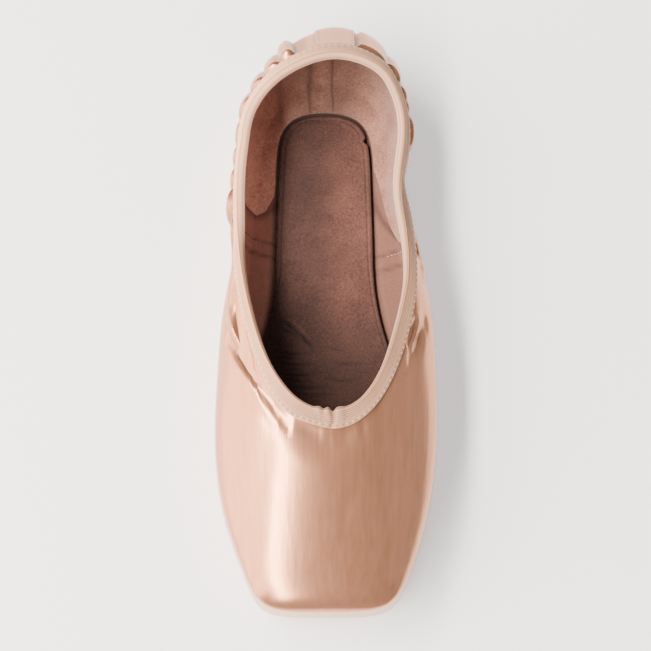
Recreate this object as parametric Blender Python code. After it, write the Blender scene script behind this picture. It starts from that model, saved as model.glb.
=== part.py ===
"""A pointe shoe, standing empty on its sole: upper, outsole, insole, collar binding and heel strip.

Metres, +Z up, the toe towards -Y and the heel towards +Y, the floor at Z = 0.
Every piece is worked out from ribs: lines that run from the lasted edge under the foot,
up the wall of the shoe and on to the rim of the collar, one after another around the shoe.
"""

from collections import namedtuple

import bmesh
import bpy
import numpy as np
from mathutils import Matrix, Vector

# Driving sizes of the shoe.
LENGTH = 0.2243  # platform to the back of the heel
BALL_WIDTH = 0.0823  # widest part of the box
INSTEP_HEIGHT = 0.0455  # rim of the upper above the floor at the throat
WAIST_HEIGHT = 0.037  # rim at the lowest part of the topline
HEEL_HEIGHT = 0.0495  # rim at the back of the heel
TOE_SPRING = 0.004  # lift of the underside at the platform
ARCH_RISE = 0.0025  # lift of the underside between ball and heel

# Thicknesses, and the clearance between pieces that are stitched or glued together.
BOX_WALL = 0.0026  # pasted layers of the toe box
QUARTER_WALL = 0.0014  # satin and lining of the sides, the heel and the lasted edge
OUTSOLE_THICKNESS = 0.0026
OUTSOLE_BEVEL = 0.0008
INSOLE_THICKNESS = 0.0026
INSOLE_BEVEL = 0.0007
CLEARANCE = 0.0003
TAPE_CLEARANCE = 0.0004  # of the binding and the strip, measured at the corners of facets

# Margins of the lasted edge, which lies between outsole and insole.
LASTED_MARGIN = 0.005  # how far it reaches in under the outsole
FEATHER_MARGIN = 0.001  # flat part outside the insole, before the wall turns up

# Binding folded over the rim, and the strip over the back seam.
BINDING_OUTSIDE = 0.0069
BINDING_INSIDE = 0.0050
BINDING_THICKNESS = 0.0009
STRIP_WIDTH = 0.0150
STRIP_THICKNESS = 0.0006
STRIP_TUCK = 0.0060  # how far from the insole it ends, under the heel
STRIP_GAP = 0.0015  # least length of its first facet below the binding

# Outlines seen from above, a row for each key rib from the middle of the platform to the
# middle of the heel. "along" is a share of LENGTH from the platform, "across" a share of
# half the BALL_WIDTH from the centre line, right or left; at both ends of the table right
# and left are one point.
Plan = namedtuple(
    "Plan",
    "outsole_along outsole_across insole_along insole_across"
    " wide_along wide_right wide_left rim_along rim_right rim_left",
)
PLAN = (
    Plan(0.076, 0.000, 0.053, 0.000, 0.000, 0.000, 0.000, 0.310, 0.049, -0.049),
    Plan(0.077, 0.170, 0.055, 0.238, 0.001, 0.340, 0.328, 0.320, 0.243, 0.158),
    Plan(0.088, 0.350, 0.069, 0.437, 0.014, 0.598, 0.569, 0.339, 0.365, 0.296),
    Plan(0.125, 0.486, 0.107, 0.583, 0.058, 0.746, 0.705, 0.365, 0.459, 0.406),
    Plan(0.183, 0.574, 0.165, 0.697, 0.129, 0.880, 0.853, 0.399, 0.542, 0.508),
    Plan(0.254, 0.627, 0.236, 0.768, 0.210, 0.972, 0.957, 0.441, 0.615, 0.593),
    Plan(0.334, 0.637, 0.317, 0.778, 0.299, 1.013, 0.989, 0.486, 0.678, 0.661),
    Plan(0.419, 0.593, 0.401, 0.685, 0.392, 1.009, 0.970, 0.535, 0.727, 0.717),
    Plan(0.504, 0.501, 0.486, 0.539, 0.486, 0.979, 0.933, 0.584, 0.734, 0.753),
    Plan(0.584, 0.437, 0.566, 0.454, 0.571, 0.904, 0.860, 0.633, 0.710, 0.770),
    Plan(0.655, 0.411, 0.642, 0.437, 0.646, 0.826, 0.853, 0.682, 0.676, 0.778),
    Plan(0.722, 0.403, 0.709, 0.430, 0.718, 0.719, 0.836, 0.731, 0.685, 0.773),
    Plan(0.785, 0.401, 0.776, 0.420, 0.789, 0.778, 0.807, 0.780, 0.719, 0.746),
    Plan(0.834, 0.374, 0.829, 0.394, 0.860, 0.758, 0.748, 0.828, 0.710, 0.690),
    Plan(0.869, 0.296, 0.860, 0.311, 0.922, 0.644, 0.547, 0.871, 0.622, 0.525),
    Plan(0.888, 0.158, 0.874, 0.165, 0.967, 0.457, 0.323, 0.901, 0.452, 0.262),
    Plan(0.893, 0.000, 0.877, 0.000, 0.996, 0.097, -0.097, 0.917, 0.102, -0.102),
)

# How the wall stands, a row for each key rib as above. "low" is how boxy its foot is,
# "wide" and "shoulder" are heights as shares of INSTEP_HEIGHT, "crown" is how domed it is
# above the shoulder, "instep" and "heel" say how far the rim rises from WAIST_HEIGHT
# towards INSTEP_HEIGHT and HEEL_HEIGHT, and "box" how much of the wall is the toe box.
Wall = namedtuple("Wall", "low wide shoulder crown instep heel box")
WALL = (
    Wall(0.94, 0.40, 0.72, 1.25, 1.00, 0.00, 1.00),
    Wall(0.94, 0.40, 0.72, 1.25, 1.00, 0.00, 1.00),
    Wall(0.93, 0.40, 0.70, 1.35, 0.96, 0.00, 1.00),
    Wall(0.92, 0.40, 0.68, 1.55, 0.88, 0.00, 1.00),
    Wall(0.91, 0.40, 0.67, 1.75, 0.79, 0.00, 1.00),
    Wall(0.91, 0.40, 0.66, 1.75, 0.64, 0.00, 1.00),
    Wall(0.91, 0.40, 0.65, 1.70, 0.47, 0.00, 0.95),
    Wall(0.90, 0.41, 0.64, 1.60, 0.31, 0.00, 0.75),
    Wall(0.87, 0.42, 0.63, 1.45, 0.18, 0.00, 0.45),
    Wall(0.82, 0.44, 0.62, 1.30, 0.08, 0.00, 0.15),
    Wall(0.78, 0.46, 0.61, 1.15, 0.02, 0.00, 0.00),
    Wall(0.77, 0.48, 0.61, 1.10, 0.00, 0.03, 0.00),
    Wall(0.77, 0.49, 0.63, 1.10, 0.00, 0.11, 0.00),
    Wall(0.78, 0.50, 0.67, 1.05, 0.00, 0.29, 0.00),
    Wall(0.80, 0.52, 0.71, 1.00, 0.00, 0.58, 0.00),
    Wall(0.82, 0.54, 0.74, 0.95, 0.00, 0.86, 0.00),
    Wall(0.82, 0.55, 0.75, 0.92, 0.00, 1.00, 0.00),
)

# Places along the underside, as shares of LENGTH from the platform.
SPRING_END = 0.24  # the forefoot lies flat from here
ARCH_START = 0.46  # to here
ARCH_END = 0.76  # and the heel lies flat from here

# The wall's control points: how far each lies from the widest line towards the rim.
SHOULDER_REACH = 0.03
CROWN_REACHES = (0.17, 0.50, 0.82)
FOOT_REACH = 0.45  # first one outside the flat edge, as a share of the way to the widest
FOOT_LIFT = 1.2  # how steeply a foot that is less boxy rises

# How finely the pieces are divided.
STEPS_PER_ROW = 3  # ribs from one key rib to the next
WALL_STEPS = 13  # from the turn of the wall to the rim
STRIP_COLUMNS = 6  # across the strip
RIB_NUDGE = 0.02  # part of a row between the ribs that give the wall's slope
CREASE_ANGLE = np.radians(35)


def half_circle_order():
    """Key rows around the shoe: up the right side from the toe, and back down the left."""
    last = len(PLAN) - 1
    right = [(row, "right") for row in range(last + 1)]
    left = [(row, "left") for row in range(last - 1, 0, -1)]
    return right + left


def underside(along):
    """Lift of the outsole's underside above the floor, at a share of LENGTH."""
    along = np.asarray(along, float)
    spring = np.clip((SPRING_END - along) / SPRING_END, 0, 1) ** 2
    arch = np.clip((along - ARCH_START) / (ARCH_END - ARCH_START), 0, 1)
    return TOE_SPRING * spring + ARCH_RISE * np.sin(np.pi * arch) ** 2


def point(along, across, side, height):
    """A point from shares of the length and of half the ball width, and a real height."""
    sign = 1 if side == "right" else -1
    return np.array((sign * across * BALL_WIDTH / 2, (along - 0.5) * LENGTH, height))


def towards(start, end, distance):
    """The point at that distance from start, level with it, on the way to end."""
    way = (end - start) * (1, 1, 0)
    return start + way * distance / np.linalg.norm(way)


def key_points(row, side):
    """The control points of one key rib, from the lasted edge to the rim."""
    plan, wall = PLAN[row], WALL[row]
    wide_across = plan.wide_right if side == "right" else plan.wide_left
    rim_across = plan.rim_right if side == "right" else plan.rim_left
    seat = OUTSOLE_THICKNESS + CLEARANCE
    rim_height = (
        WAIST_HEIGHT
        + wall.instep * (INSTEP_HEIGHT - WAIST_HEIGHT)
        + wall.heel * (HEEL_HEIGHT - WAIST_HEIGHT)
    )
    outsole = point(plan.outsole_along, plan.outsole_across, side, 0)
    insole = point(plan.insole_along, plan.insole_across, side, 0)
    wide = point(plan.wide_along, wide_across, side, wall.wide * INSTEP_HEIGHT)
    rim = point(plan.rim_along, rim_across, side, rim_height)
    middle = centre_of_sole(plan.outsole_along)
    edge = towards(outsole, middle, LASTED_MARGIN)
    feather = towards(insole, wide, FEATHER_MARGIN)
    foot = feather + FOOT_REACH * (wide - feather)
    low = feather + wall.low * (wide - feather)
    low[2] = seat + (wide[2] - seat) * (1 - wall.low) * FOOT_LIFT
    shoulder = wide + SHOULDER_REACH * (rim - wide)
    shoulder[2] = wall.shoulder * INSTEP_HEIGHT
    crown = []
    for reach in CROWN_REACHES:
        place = wide + reach * (rim - wide)
        rise = 1 - (1 - reach) ** wall.crown
        place[2] = shoulder[2] + rise * (rim[2] - shoulder[2])
        crown.append(place)
    return [edge, outsole, insole, feather, foot, low, wide, shoulder, *crown, rim]


def centre_of_sole(along):
    """The point on the centre line that an edge of the sole at this place faces."""
    front = PLAN[0].outsole_along + PLAN[4].outsole_across * BALL_WIDTH / 2 / LENGTH
    back = PLAN[-1].outsole_along - PLAN[-4].outsole_across * BALL_WIDTH / 2 / LENGTH
    return point(np.clip(along, front, back), 0, "right", 0)


def loop_weights(count, places):
    """Weights that pass a closed, smooth curve through count points, at the given places."""
    ring = np.eye(count)
    solve = (4 * ring + np.roll(ring, 1, axis=0) + np.roll(ring, -1, axis=0)) / 6
    weights = np.zeros((len(places), count))
    for line, place in enumerate(places):
        start = int(np.floor(place))
        t = place - start
        blend = (
            (1 - t) ** 3 / 6,
            (3 * t**3 - 6 * t**2 + 4) / 6,
            (-3 * t**3 + 3 * t**2 + 3 * t + 1) / 6,
            t**3 / 6,
        )
        for step, share in enumerate(blend):
            weights[line, (start + step - 1) % count] += share
    return weights @ np.linalg.inv(solve)


def strand_weights(count, places):
    """Weights of a cubic B-spline with count control points, which ends on the end ones."""
    degree = 3
    knots = np.concatenate(
        (np.zeros(degree), np.linspace(0, 1, count - degree + 1), np.ones(degree))
    )
    places = np.clip(np.asarray(places, float), 0, 1 - 1e-9)[:, None]
    weights = ((knots[:-1] <= places) & (places < knots[1:])).astype(float)
    for order in range(1, degree + 1):
        lower, upper = knots[: -order - 1], knots[order + 1 :]
        rise = np.where(knots[order:-1] > lower, knots[order:-1] - lower, np.inf)
        fall = np.where(upper > knots[1:-order], upper - knots[1:-order], np.inf)
        weights = (places - lower) / rise * weights[:, :-1] + (upper - places) / fall * weights[
            :, 1:
        ]
    return weights


KEY_ORDER = half_circle_order()
KEY_POINTS = np.array([key_points(row, side) for row, side in KEY_ORDER])
KEY_BOX = np.array([WALL[row].box for row, side in KEY_ORDER])
EDGE, OUTSOLE, INSOLE, FEATHER, FOOT = range(5)
HEEL_ROW = len(PLAN) - 1
ALL_RIBS = np.arange(len(KEY_ORDER) * STEPS_PER_ROW) / STEPS_PER_ROW


def controls_at(ribs):
    """Control points of the ribs at the given places around the shoe, in rows."""
    weights = loop_weights(len(KEY_ORDER), ribs)
    controls = np.einsum("rk,kcx->rcx", weights, KEY_POINTS)
    flat = controls[:, : FOOT + 1]
    flat[..., 2] = OUTSOLE_THICKNESS + CLEARANCE + underside(flat[..., 1] / LENGTH + 0.5)
    return controls


def wall_lines(ribs, steps):
    """The wall's outer face from the feather to the rim, for each rib: (ribs, steps + 1, 3)."""
    controls = controls_at(ribs)[:, FEATHER:]
    weights = strand_weights(controls.shape[1], np.linspace(0, 1, steps + 1))
    return np.einsum("sc,rcx->rsx", weights, controls)


def outward(ribs, steps):
    """Unit normals of the outer face, pointing out of the shoe, at the points of wall_lines."""
    here = wall_lines(ribs, steps)
    around = wall_lines(ribs + RIB_NUDGE, steps) - wall_lines(ribs - RIB_NUDGE, steps)
    upwards = np.gradient(here, axis=1)
    normal = np.cross(around, upwards)
    return normal / np.linalg.norm(normal, axis=2, keepdims=True)


def thickness(ribs, steps):
    """The wall's thickness at the points of wall_lines: thin at the feather and the rim."""
    box = np.clip(loop_weights(len(KEY_ORDER), ribs) @ KEY_BOX, 0, 1)
    upwards = np.linspace(0, 1, steps + 1)
    ramp = np.clip(np.minimum(upwards / 0.3, (1 - upwards) / 0.25), 0, 1)
    ramp = ramp**2 * (3 - 2 * ramp)
    return QUARTER_WALL + (BOX_WALL - QUARTER_WALL) * box[:, None] * ramp


def rim_distances(ribs):
    """How far the points of wall_lines are from the rim, along each rib, rim first."""
    lines = wall_lines(ribs, WALL_STEPS)[:, ::-1]
    steps = np.linalg.norm(np.diff(lines, axis=1), axis=2)
    return np.concatenate((np.zeros((len(ribs), 1)), np.cumsum(steps, axis=1)), axis=1)


def beside_wall(ribs, places, depth_of):
    """Points beside the wall, at places counted in steps of wall_lines from the rim.

    There is a row of places for each rib. depth_of takes the wall's thickness there
    and gives how far inside the outer face the point lies."""
    lines = wall_lines(ribs, WALL_STEPS)[:, ::-1]
    normals = outward(ribs, WALL_STEPS)[:, ::-1]
    walls = thickness(ribs, WALL_STEPS)[:, ::-1]
    low = np.minimum(places.astype(int), WALL_STEPS - 1)
    share = places - low

    def between(values):
        pick = np.arange(len(ribs))[:, None]
        part = share.reshape(share.shape + (1,) * (values.ndim - 2))
        return values[pick, low] * (1 - part) + values[pick, low + 1] * part

    return between(lines) - depth_of(between(walls))[..., None] * between(normals)


def near_rim(ribs, distances, depth_of):
    """Points beside the wall, at distances from the rim measured down each rib."""
    steps = np.arange(WALL_STEPS + 1)
    places = [np.interp(distances, known, steps) for known in rim_distances(ribs)]
    return beside_wall(ribs, np.array(places), depth_of)


def closed_tube(sections):
    """Faces of a body whose sections are closed loops, and which closes on itself."""
    ribs, points = sections.shape[:2]
    return [
        (
            a * points + b,
            (a + 1) % ribs * points + b,
            (a + 1) % ribs * points + (b + 1) % points,
            a * points + (b + 1) % points,
        )
        for a in range(ribs)
        for b in range(points)
    ]


def stacked_loops(loops):
    """Faces of a slab made of loops from bottom to top, closed by strips from side to side."""
    ribs = loops.shape[1]
    faces = []
    for level in range(len(loops) - 1):
        low, high = level * ribs, (level + 1) * ribs
        for a in range(ribs):
            b = (a + 1) % ribs
            faces.append((low + a, low + b, high + b, high + a))
    top = (len(loops) - 1) * ribs
    for a in range(ribs // 2):
        right, left = (a, a + 1), ((ribs - a) % ribs, ribs - a - 1)
        strip = dict.fromkeys((right[0], right[1], left[1], left[0]))
        faces.append(tuple(top + corner for corner in strip))
        faces.append(tuple(reversed(list(strip))))
    return faces


def block(grid):
    """Faces of a patch: grid is (2 faces, rows, columns), the inner face and then the outer."""
    rows, columns = grid.shape[1:3]

    def corner(face, row, column):
        return (face * rows + row) * columns + column

    faces = []
    for row in range(rows - 1):
        for column in range(columns - 1):
            for face in (0, 1):
                faces.append(
                    (
                        corner(face, row, column),
                        corner(face, row + 1, column),
                        corner(face, row + 1, column + 1),
                        corner(face, row, column + 1),
                    )
                )
    border = [(0, column) for column in range(columns)]
    border += [(row, columns - 1) for row in range(1, rows)]
    border += [(rows - 1, column) for column in range(columns - 2, -1, -1)]
    border += [(row, 0) for row in range(rows - 2, 0, -1)]
    for (r0, c0), (r1, c1) in zip(border, border[1:] + border[:1]):
        faces.append((corner(0, r0, c0), corner(0, r1, c1), corner(1, r1, c1), corner(1, r0, c0)))
    return faces


def add_piece(name, points, faces, colour, roughness):
    """A closed mesh object with its own material, shaded smooth except at real edges."""
    mesh = bpy.data.meshes.new(name)
    mesh.from_pydata([tuple(p) for p in np.asarray(points).reshape(-1, 3)], [], faces)
    shape = bmesh.new()
    shape.from_mesh(mesh)
    bmesh.ops.recalc_face_normals(shape, faces=shape.faces)
    shape.to_mesh(mesh)
    shape.free()
    mesh.shade_smooth()
    mesh.set_sharp_from_angle(angle=CREASE_ANGLE)
    material = bpy.data.materials.new(name)
    material.use_nodes = True
    surface = material.node_tree.nodes["Principled BSDF"]
    surface.inputs["Base Color"].default_value = (*colour, 1)
    surface.inputs["Roughness"].default_value = roughness
    surface.inputs["Metallic"].default_value = 0
    mesh.materials.append(material)
    piece = bpy.data.objects.new(name, mesh)
    bpy.context.scene.collection.objects.link(piece)
    return piece


def add_upper():
    """One hollow wall around the shoe, open at the collar and under the foot."""
    outer_wall = wall_lines(ALL_RIBS, WALL_STEPS)
    normals = outward(ALL_RIBS, WALL_STEPS)
    depth = thickness(ALL_RIBS, WALL_STEPS)[..., None]
    inner_wall = outer_wall - normals * depth
    edge = controls_at(ALL_RIBS)[:, EDGE]
    inner_edge = edge + (0, 0, QUARTER_WALL)
    inner_wall[:, 0] = outer_wall[:, 0] + (0, 0, QUARTER_WALL)
    sections = np.concatenate(
        (edge[:, None], outer_wall, inner_wall[:, ::-1], inner_edge[:, None]), axis=1
    )
    return add_piece("upper", sections, closed_tube(sections), (0.68, 0.44, 0.32), 0.42)


def add_outsole():
    """The leather sole, bevelled around its lower edge, flat under ball and heel."""
    outline = controls_at(ALL_RIBS)[:, OUTSOLE]
    lift = underside(outline[:, 1] / LENGTH + 0.5)
    inward = controls_at(ALL_RIBS)[:, EDGE] - outline
    inward = inward * (1, 1, 0) / LASTED_MARGIN
    loops = []
    for inset, height in (
        (OUTSOLE_BEVEL, 0),
        (0, OUTSOLE_BEVEL),
        (0, OUTSOLE_THICKNESS),
    ):
        loop = outline + inward * inset
        loop[:, 2] = lift + height
        loops.append(loop)
    loops = np.array(loops)
    return add_piece("outsole", loops, stacked_loops(loops), (0.52, 0.36, 0.27), 0.75)


def add_insole():
    """The suede-covered insole, with a step below that fills the opening of the upper."""
    outline = controls_at(ALL_RIBS)[:, INSOLE]
    edge = controls_at(ALL_RIBS)[:, EDGE]
    inward = (edge - outline) * (1, 1, 0)
    inward /= np.linalg.norm(inward, axis=1, keepdims=True)
    plug = edge + inward * CLEARANCE
    rest = QUARTER_WALL + CLEARANCE
    loops = []
    for line, height in (
        (plug, 0),
        (plug, rest),
        (outline, rest),
        (outline, rest + INSOLE_THICKNESS - INSOLE_BEVEL),
        (outline + inward * INSOLE_BEVEL, rest + INSOLE_THICKNESS),
    ):
        loop = line.copy()
        lift = underside(loop[:, 1] / LENGTH + 0.5)
        loop[:, 2] = OUTSOLE_THICKNESS + CLEARANCE + lift + height
        loops.append(loop)
    loops = np.array(loops)
    return add_piece("insole", loops, stacked_loops(loops), (0.42, 0.25, 0.21), 0.95)


def add_collar_binding():
    """The elastic tape folded over the rim: a leg outside, a fold, and a leg inside."""
    outside = np.linspace(BINDING_OUTSIDE, 0, 4)
    inside = np.linspace(0, BINDING_INSIDE, 3)
    far = TAPE_CLEARANCE + BINDING_THICKNESS
    ribs = ALL_RIBS
    outer_face = near_rim(ribs, outside, lambda wall: -far + 0 * wall)
    outer_back = near_rim(ribs, outside[::-1], lambda wall: -TAPE_CLEARANCE + 0 * wall)
    inner_face = near_rim(ribs, inside, lambda wall: wall + far)
    inner_back = near_rim(ribs, inside[::-1], lambda wall: wall + TAPE_CLEARANCE)
    rim = near_rim(ribs, np.array((0, 0.001)), lambda wall: wall / 2)
    upwards = rim[:, 0] - rim[:, 1]
    upwards /= np.linalg.norm(upwards, axis=1, keepdims=True)
    fold_out = (outer_face[:, -1] * 0.8 + rim[:, 0] * 0.2) + upwards * far * 0.8
    fold_in = (inner_face[:, 0] * 0.8 + rim[:, 0] * 0.2) + upwards * far * 0.8
    fold_back_in = inner_back[:, -1] + upwards * TAPE_CLEARANCE
    fold_back_out = outer_back[:, 0] + upwards * TAPE_CLEARANCE
    sections = np.concatenate(
        (
            outer_face,
            fold_out[:, None],
            (rim[:, 0] + upwards * far)[:, None],
            fold_in[:, None],
            inner_face,
            inner_back,
            fold_back_in[:, None],
            fold_back_out[:, None],
            outer_back,
        ),
        axis=1,
    )
    return add_piece("collar_binding", sections, closed_tube(sections), (0.72, 0.55, 0.45), 0.8)


def add_heel_strip():
    """The tape over the back seam, from the binding down and in under the heel."""
    near = np.array((-1.0, 0.0, 1.0)) / STEPS_PER_ROW
    heel = wall_lines(HEEL_ROW + near, WALL_STEPS)[:, ::-1]
    rib_widths = np.linalg.norm(heel[2] - heel[0], axis=1) / 2 * STEPS_PER_ROW
    known = rim_distances(HEEL_ROW + near)[1]
    steps = np.arange(WALL_STEPS + 1)
    whole = (known > BINDING_OUTSIDE + STRIP_GAP) & (known < known[-1] - STRIP_TUCK - STRIP_GAP)
    last = np.interp(known[-1] - STRIP_TUCK, known, steps)
    places = np.concatenate((steps[whole], (last,)))
    rows = len(places) + 1
    first = np.interp(BINDING_OUTSIDE, known, steps)
    halves = STRIP_WIDTH / 2 / np.interp((first, *places), steps, rib_widths)
    across = np.linspace(-1, 1, STRIP_COLUMNS + 1)
    ribs = HEEL_ROW + halves[:, None] * across
    sheets = []
    for depth in (TAPE_CLEARANCE, TAPE_CLEARANCE + STRIP_THICKNESS):
        start = (BINDING_OUTSIDE + TAPE_CLEARANCE,)
        top = near_rim(ribs[0], start, lambda wall: -depth + 0 * wall)
        under = np.repeat(places, len(across))[:, None]
        rest = beside_wall(ribs[1:].ravel(), under, lambda wall: -depth + 0 * wall)
        sheets.append(np.concatenate((top, rest)).reshape(rows, len(across), 3))
    grid = np.array(sheets)
    return add_piece("heel_strip", grid, block(grid), (0.70, 0.47, 0.36), 0.5)


def centre(pieces):
    """Move all the pieces as one, so that their common box is centred over the origin."""
    corners = np.array([v.co[:] for piece in pieces for v in piece.data.vertices])
    low, high = corners.min(axis=0), corners.max(axis=0)
    shift = Vector((-(low[0] + high[0]) / 2, -(low[1] + high[1]) / 2, -low[2]))
    for piece in pieces:
        piece.data.transform(Matrix.Translation(shift))


def main():
    for old in list(bpy.data.objects):
        bpy.data.objects.remove(old)
    makers = (add_outsole, add_upper, add_insole, add_collar_binding, add_heel_strip)
    centre([maker() for maker in makers])


main()
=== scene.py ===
from collections import namedtuple
from functools import partial

import bpy
import numpy as np
from mathutils import Matrix, Vector


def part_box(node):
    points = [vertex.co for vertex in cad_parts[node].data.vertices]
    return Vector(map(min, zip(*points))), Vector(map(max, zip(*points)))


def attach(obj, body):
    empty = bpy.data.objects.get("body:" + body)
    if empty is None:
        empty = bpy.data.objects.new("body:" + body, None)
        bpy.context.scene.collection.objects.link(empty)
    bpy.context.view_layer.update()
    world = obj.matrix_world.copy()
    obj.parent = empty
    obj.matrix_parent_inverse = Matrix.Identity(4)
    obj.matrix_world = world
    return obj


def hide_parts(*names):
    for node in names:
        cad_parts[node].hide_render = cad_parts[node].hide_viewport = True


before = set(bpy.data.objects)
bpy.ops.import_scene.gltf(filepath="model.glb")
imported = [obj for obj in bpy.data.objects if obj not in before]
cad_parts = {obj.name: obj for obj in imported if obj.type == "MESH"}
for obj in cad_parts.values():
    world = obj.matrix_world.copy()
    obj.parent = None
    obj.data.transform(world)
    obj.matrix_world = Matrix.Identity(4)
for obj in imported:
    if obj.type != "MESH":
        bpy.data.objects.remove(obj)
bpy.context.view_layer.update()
mm = 0.001
print("frame loaded:", len(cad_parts), "nodes")

# The last
# The wall is worked out from the same sizes and tables as the CAD, only finer.

shoe = {
    "length": 0.2243,
    "ballWidth": 0.0823,
    "instepHeight": 0.0455,
    "waistHeight": 0.037,
    "heelHeight": 0.0495,
    "toeSpring": 0.004,
    "archRise": 0.0025,
    "boxWall": 0.0026,
    "quarterWall": 0.0014,
    "outsoleThickness": 0.0026,
    "insoleThickness": 0.0026,
    "clearance": 0.0003,
    "lastedMargin": 0.005,
    "featherMargin": 0.001,
    "springEnd": 0.24,
    "archStart": 0.46,
    "archEnd": 0.76,
    "shoulderReach": 0.03,
    "crownReaches": (0.17, 0.50, 0.82),
    "footReach": 0.45,
    "footLift": 1.2,
}

# Outlines from above, a row for each key rib from the middle of the platform to the middle
# of the heel: along in shares of the length, across in shares of half the ball width.
Plan = namedtuple(
    "Plan",
    "outsoleAlong outsoleAcross insoleAlong insoleAcross"
    " wideAlong wideRight wideLeft rimAlong rimRight rimLeft",
)
planTable = (
    Plan(0.076, 0.000, 0.053, 0.000, 0.000, 0.000, 0.000, 0.310, 0.049, -0.049),
    Plan(0.077, 0.170, 0.055, 0.238, 0.001, 0.340, 0.328, 0.320, 0.243, 0.158),
    Plan(0.088, 0.350, 0.069, 0.437, 0.014, 0.598, 0.569, 0.339, 0.365, 0.296),
    Plan(0.125, 0.486, 0.107, 0.583, 0.058, 0.746, 0.705, 0.365, 0.459, 0.406),
    Plan(0.183, 0.574, 0.165, 0.697, 0.129, 0.880, 0.853, 0.399, 0.542, 0.508),
    Plan(0.254, 0.627, 0.236, 0.768, 0.210, 0.972, 0.957, 0.441, 0.615, 0.593),
    Plan(0.334, 0.637, 0.317, 0.778, 0.299, 1.013, 0.989, 0.486, 0.678, 0.661),
    Plan(0.419, 0.593, 0.401, 0.685, 0.392, 1.009, 0.970, 0.535, 0.727, 0.717),
    Plan(0.504, 0.501, 0.486, 0.539, 0.486, 0.979, 0.933, 0.584, 0.734, 0.753),
    Plan(0.584, 0.437, 0.566, 0.454, 0.571, 0.904, 0.860, 0.633, 0.710, 0.770),
    Plan(0.655, 0.411, 0.642, 0.437, 0.646, 0.826, 0.853, 0.682, 0.676, 0.778),
    Plan(0.722, 0.403, 0.709, 0.430, 0.718, 0.719, 0.836, 0.731, 0.685, 0.773),
    Plan(0.785, 0.401, 0.776, 0.420, 0.789, 0.778, 0.807, 0.780, 0.719, 0.746),
    Plan(0.834, 0.374, 0.829, 0.394, 0.860, 0.758, 0.748, 0.828, 0.710, 0.690),
    Plan(0.869, 0.296, 0.860, 0.311, 0.922, 0.644, 0.547, 0.871, 0.622, 0.525),
    Plan(0.888, 0.158, 0.874, 0.165, 0.967, 0.457, 0.323, 0.901, 0.452, 0.262),
    Plan(0.893, 0.000, 0.877, 0.000, 0.996, 0.097, -0.097, 0.917, 0.102, -0.102),
)

# How the wall stands, with the same rows: heights are shares of the instep height.
Wall = namedtuple("Wall", "low wide shoulder crown instep heel box")
wallTable = (
    Wall(0.94, 0.40, 0.72, 1.25, 1.00, 0.00, 1.00),
    Wall(0.94, 0.40, 0.72, 1.25, 1.00, 0.00, 1.00),
    Wall(0.93, 0.40, 0.70, 1.35, 0.96, 0.00, 1.00),
    Wall(0.92, 0.40, 0.68, 1.55, 0.88, 0.00, 1.00),
    Wall(0.91, 0.40, 0.67, 1.75, 0.79, 0.00, 1.00),
    Wall(0.91, 0.40, 0.66, 1.75, 0.64, 0.00, 1.00),
    Wall(0.91, 0.40, 0.65, 1.70, 0.47, 0.00, 0.95),
    Wall(0.90, 0.41, 0.64, 1.60, 0.31, 0.00, 0.75),
    Wall(0.87, 0.42, 0.63, 1.45, 0.18, 0.00, 0.45),
    Wall(0.82, 0.44, 0.62, 1.30, 0.08, 0.00, 0.15),
    Wall(0.78, 0.46, 0.61, 1.15, 0.02, 0.00, 0.00),
    Wall(0.77, 0.48, 0.61, 1.10, 0.00, 0.03, 0.00),
    Wall(0.77, 0.49, 0.63, 1.10, 0.00, 0.11, 0.00),
    Wall(0.78, 0.50, 0.67, 1.05, 0.00, 0.29, 0.00),
    Wall(0.80, 0.52, 0.71, 1.00, 0.00, 0.58, 0.00),
    Wall(0.82, 0.54, 0.74, 0.95, 0.00, 0.86, 0.00),
    Wall(0.82, 0.55, 0.75, 0.92, 0.00, 1.00, 0.00),
)
heelRib = len(planTable) - 1
ribCount = 2 * heelRib
edgeControl, outsoleControl, insoleControl, featherControl, footControl = range(5)
seat = shoe["outsoleThickness"] + shoe["clearance"]  # the lasted edge lies this high


def underside(along):
    spring = np.clip((shoe["springEnd"] - along) / shoe["springEnd"], 0, 1) ** 2
    arch = np.clip((along - shoe["archStart"]) / (shoe["archEnd"] - shoe["archStart"]), 0, 1)
    return shoe["toeSpring"] * spring + shoe["archRise"] * np.sin(np.pi * arch) ** 2


def fromShares(along, across, sign, height):
    return np.array((sign * across * shoe["ballWidth"] / 2, (along - 0.5) * shoe["length"], height))


def levelStep(start, end, distance):
    way = (end - start) * (1, 1, 0)
    return start + way * distance / np.linalg.norm(way)


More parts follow.
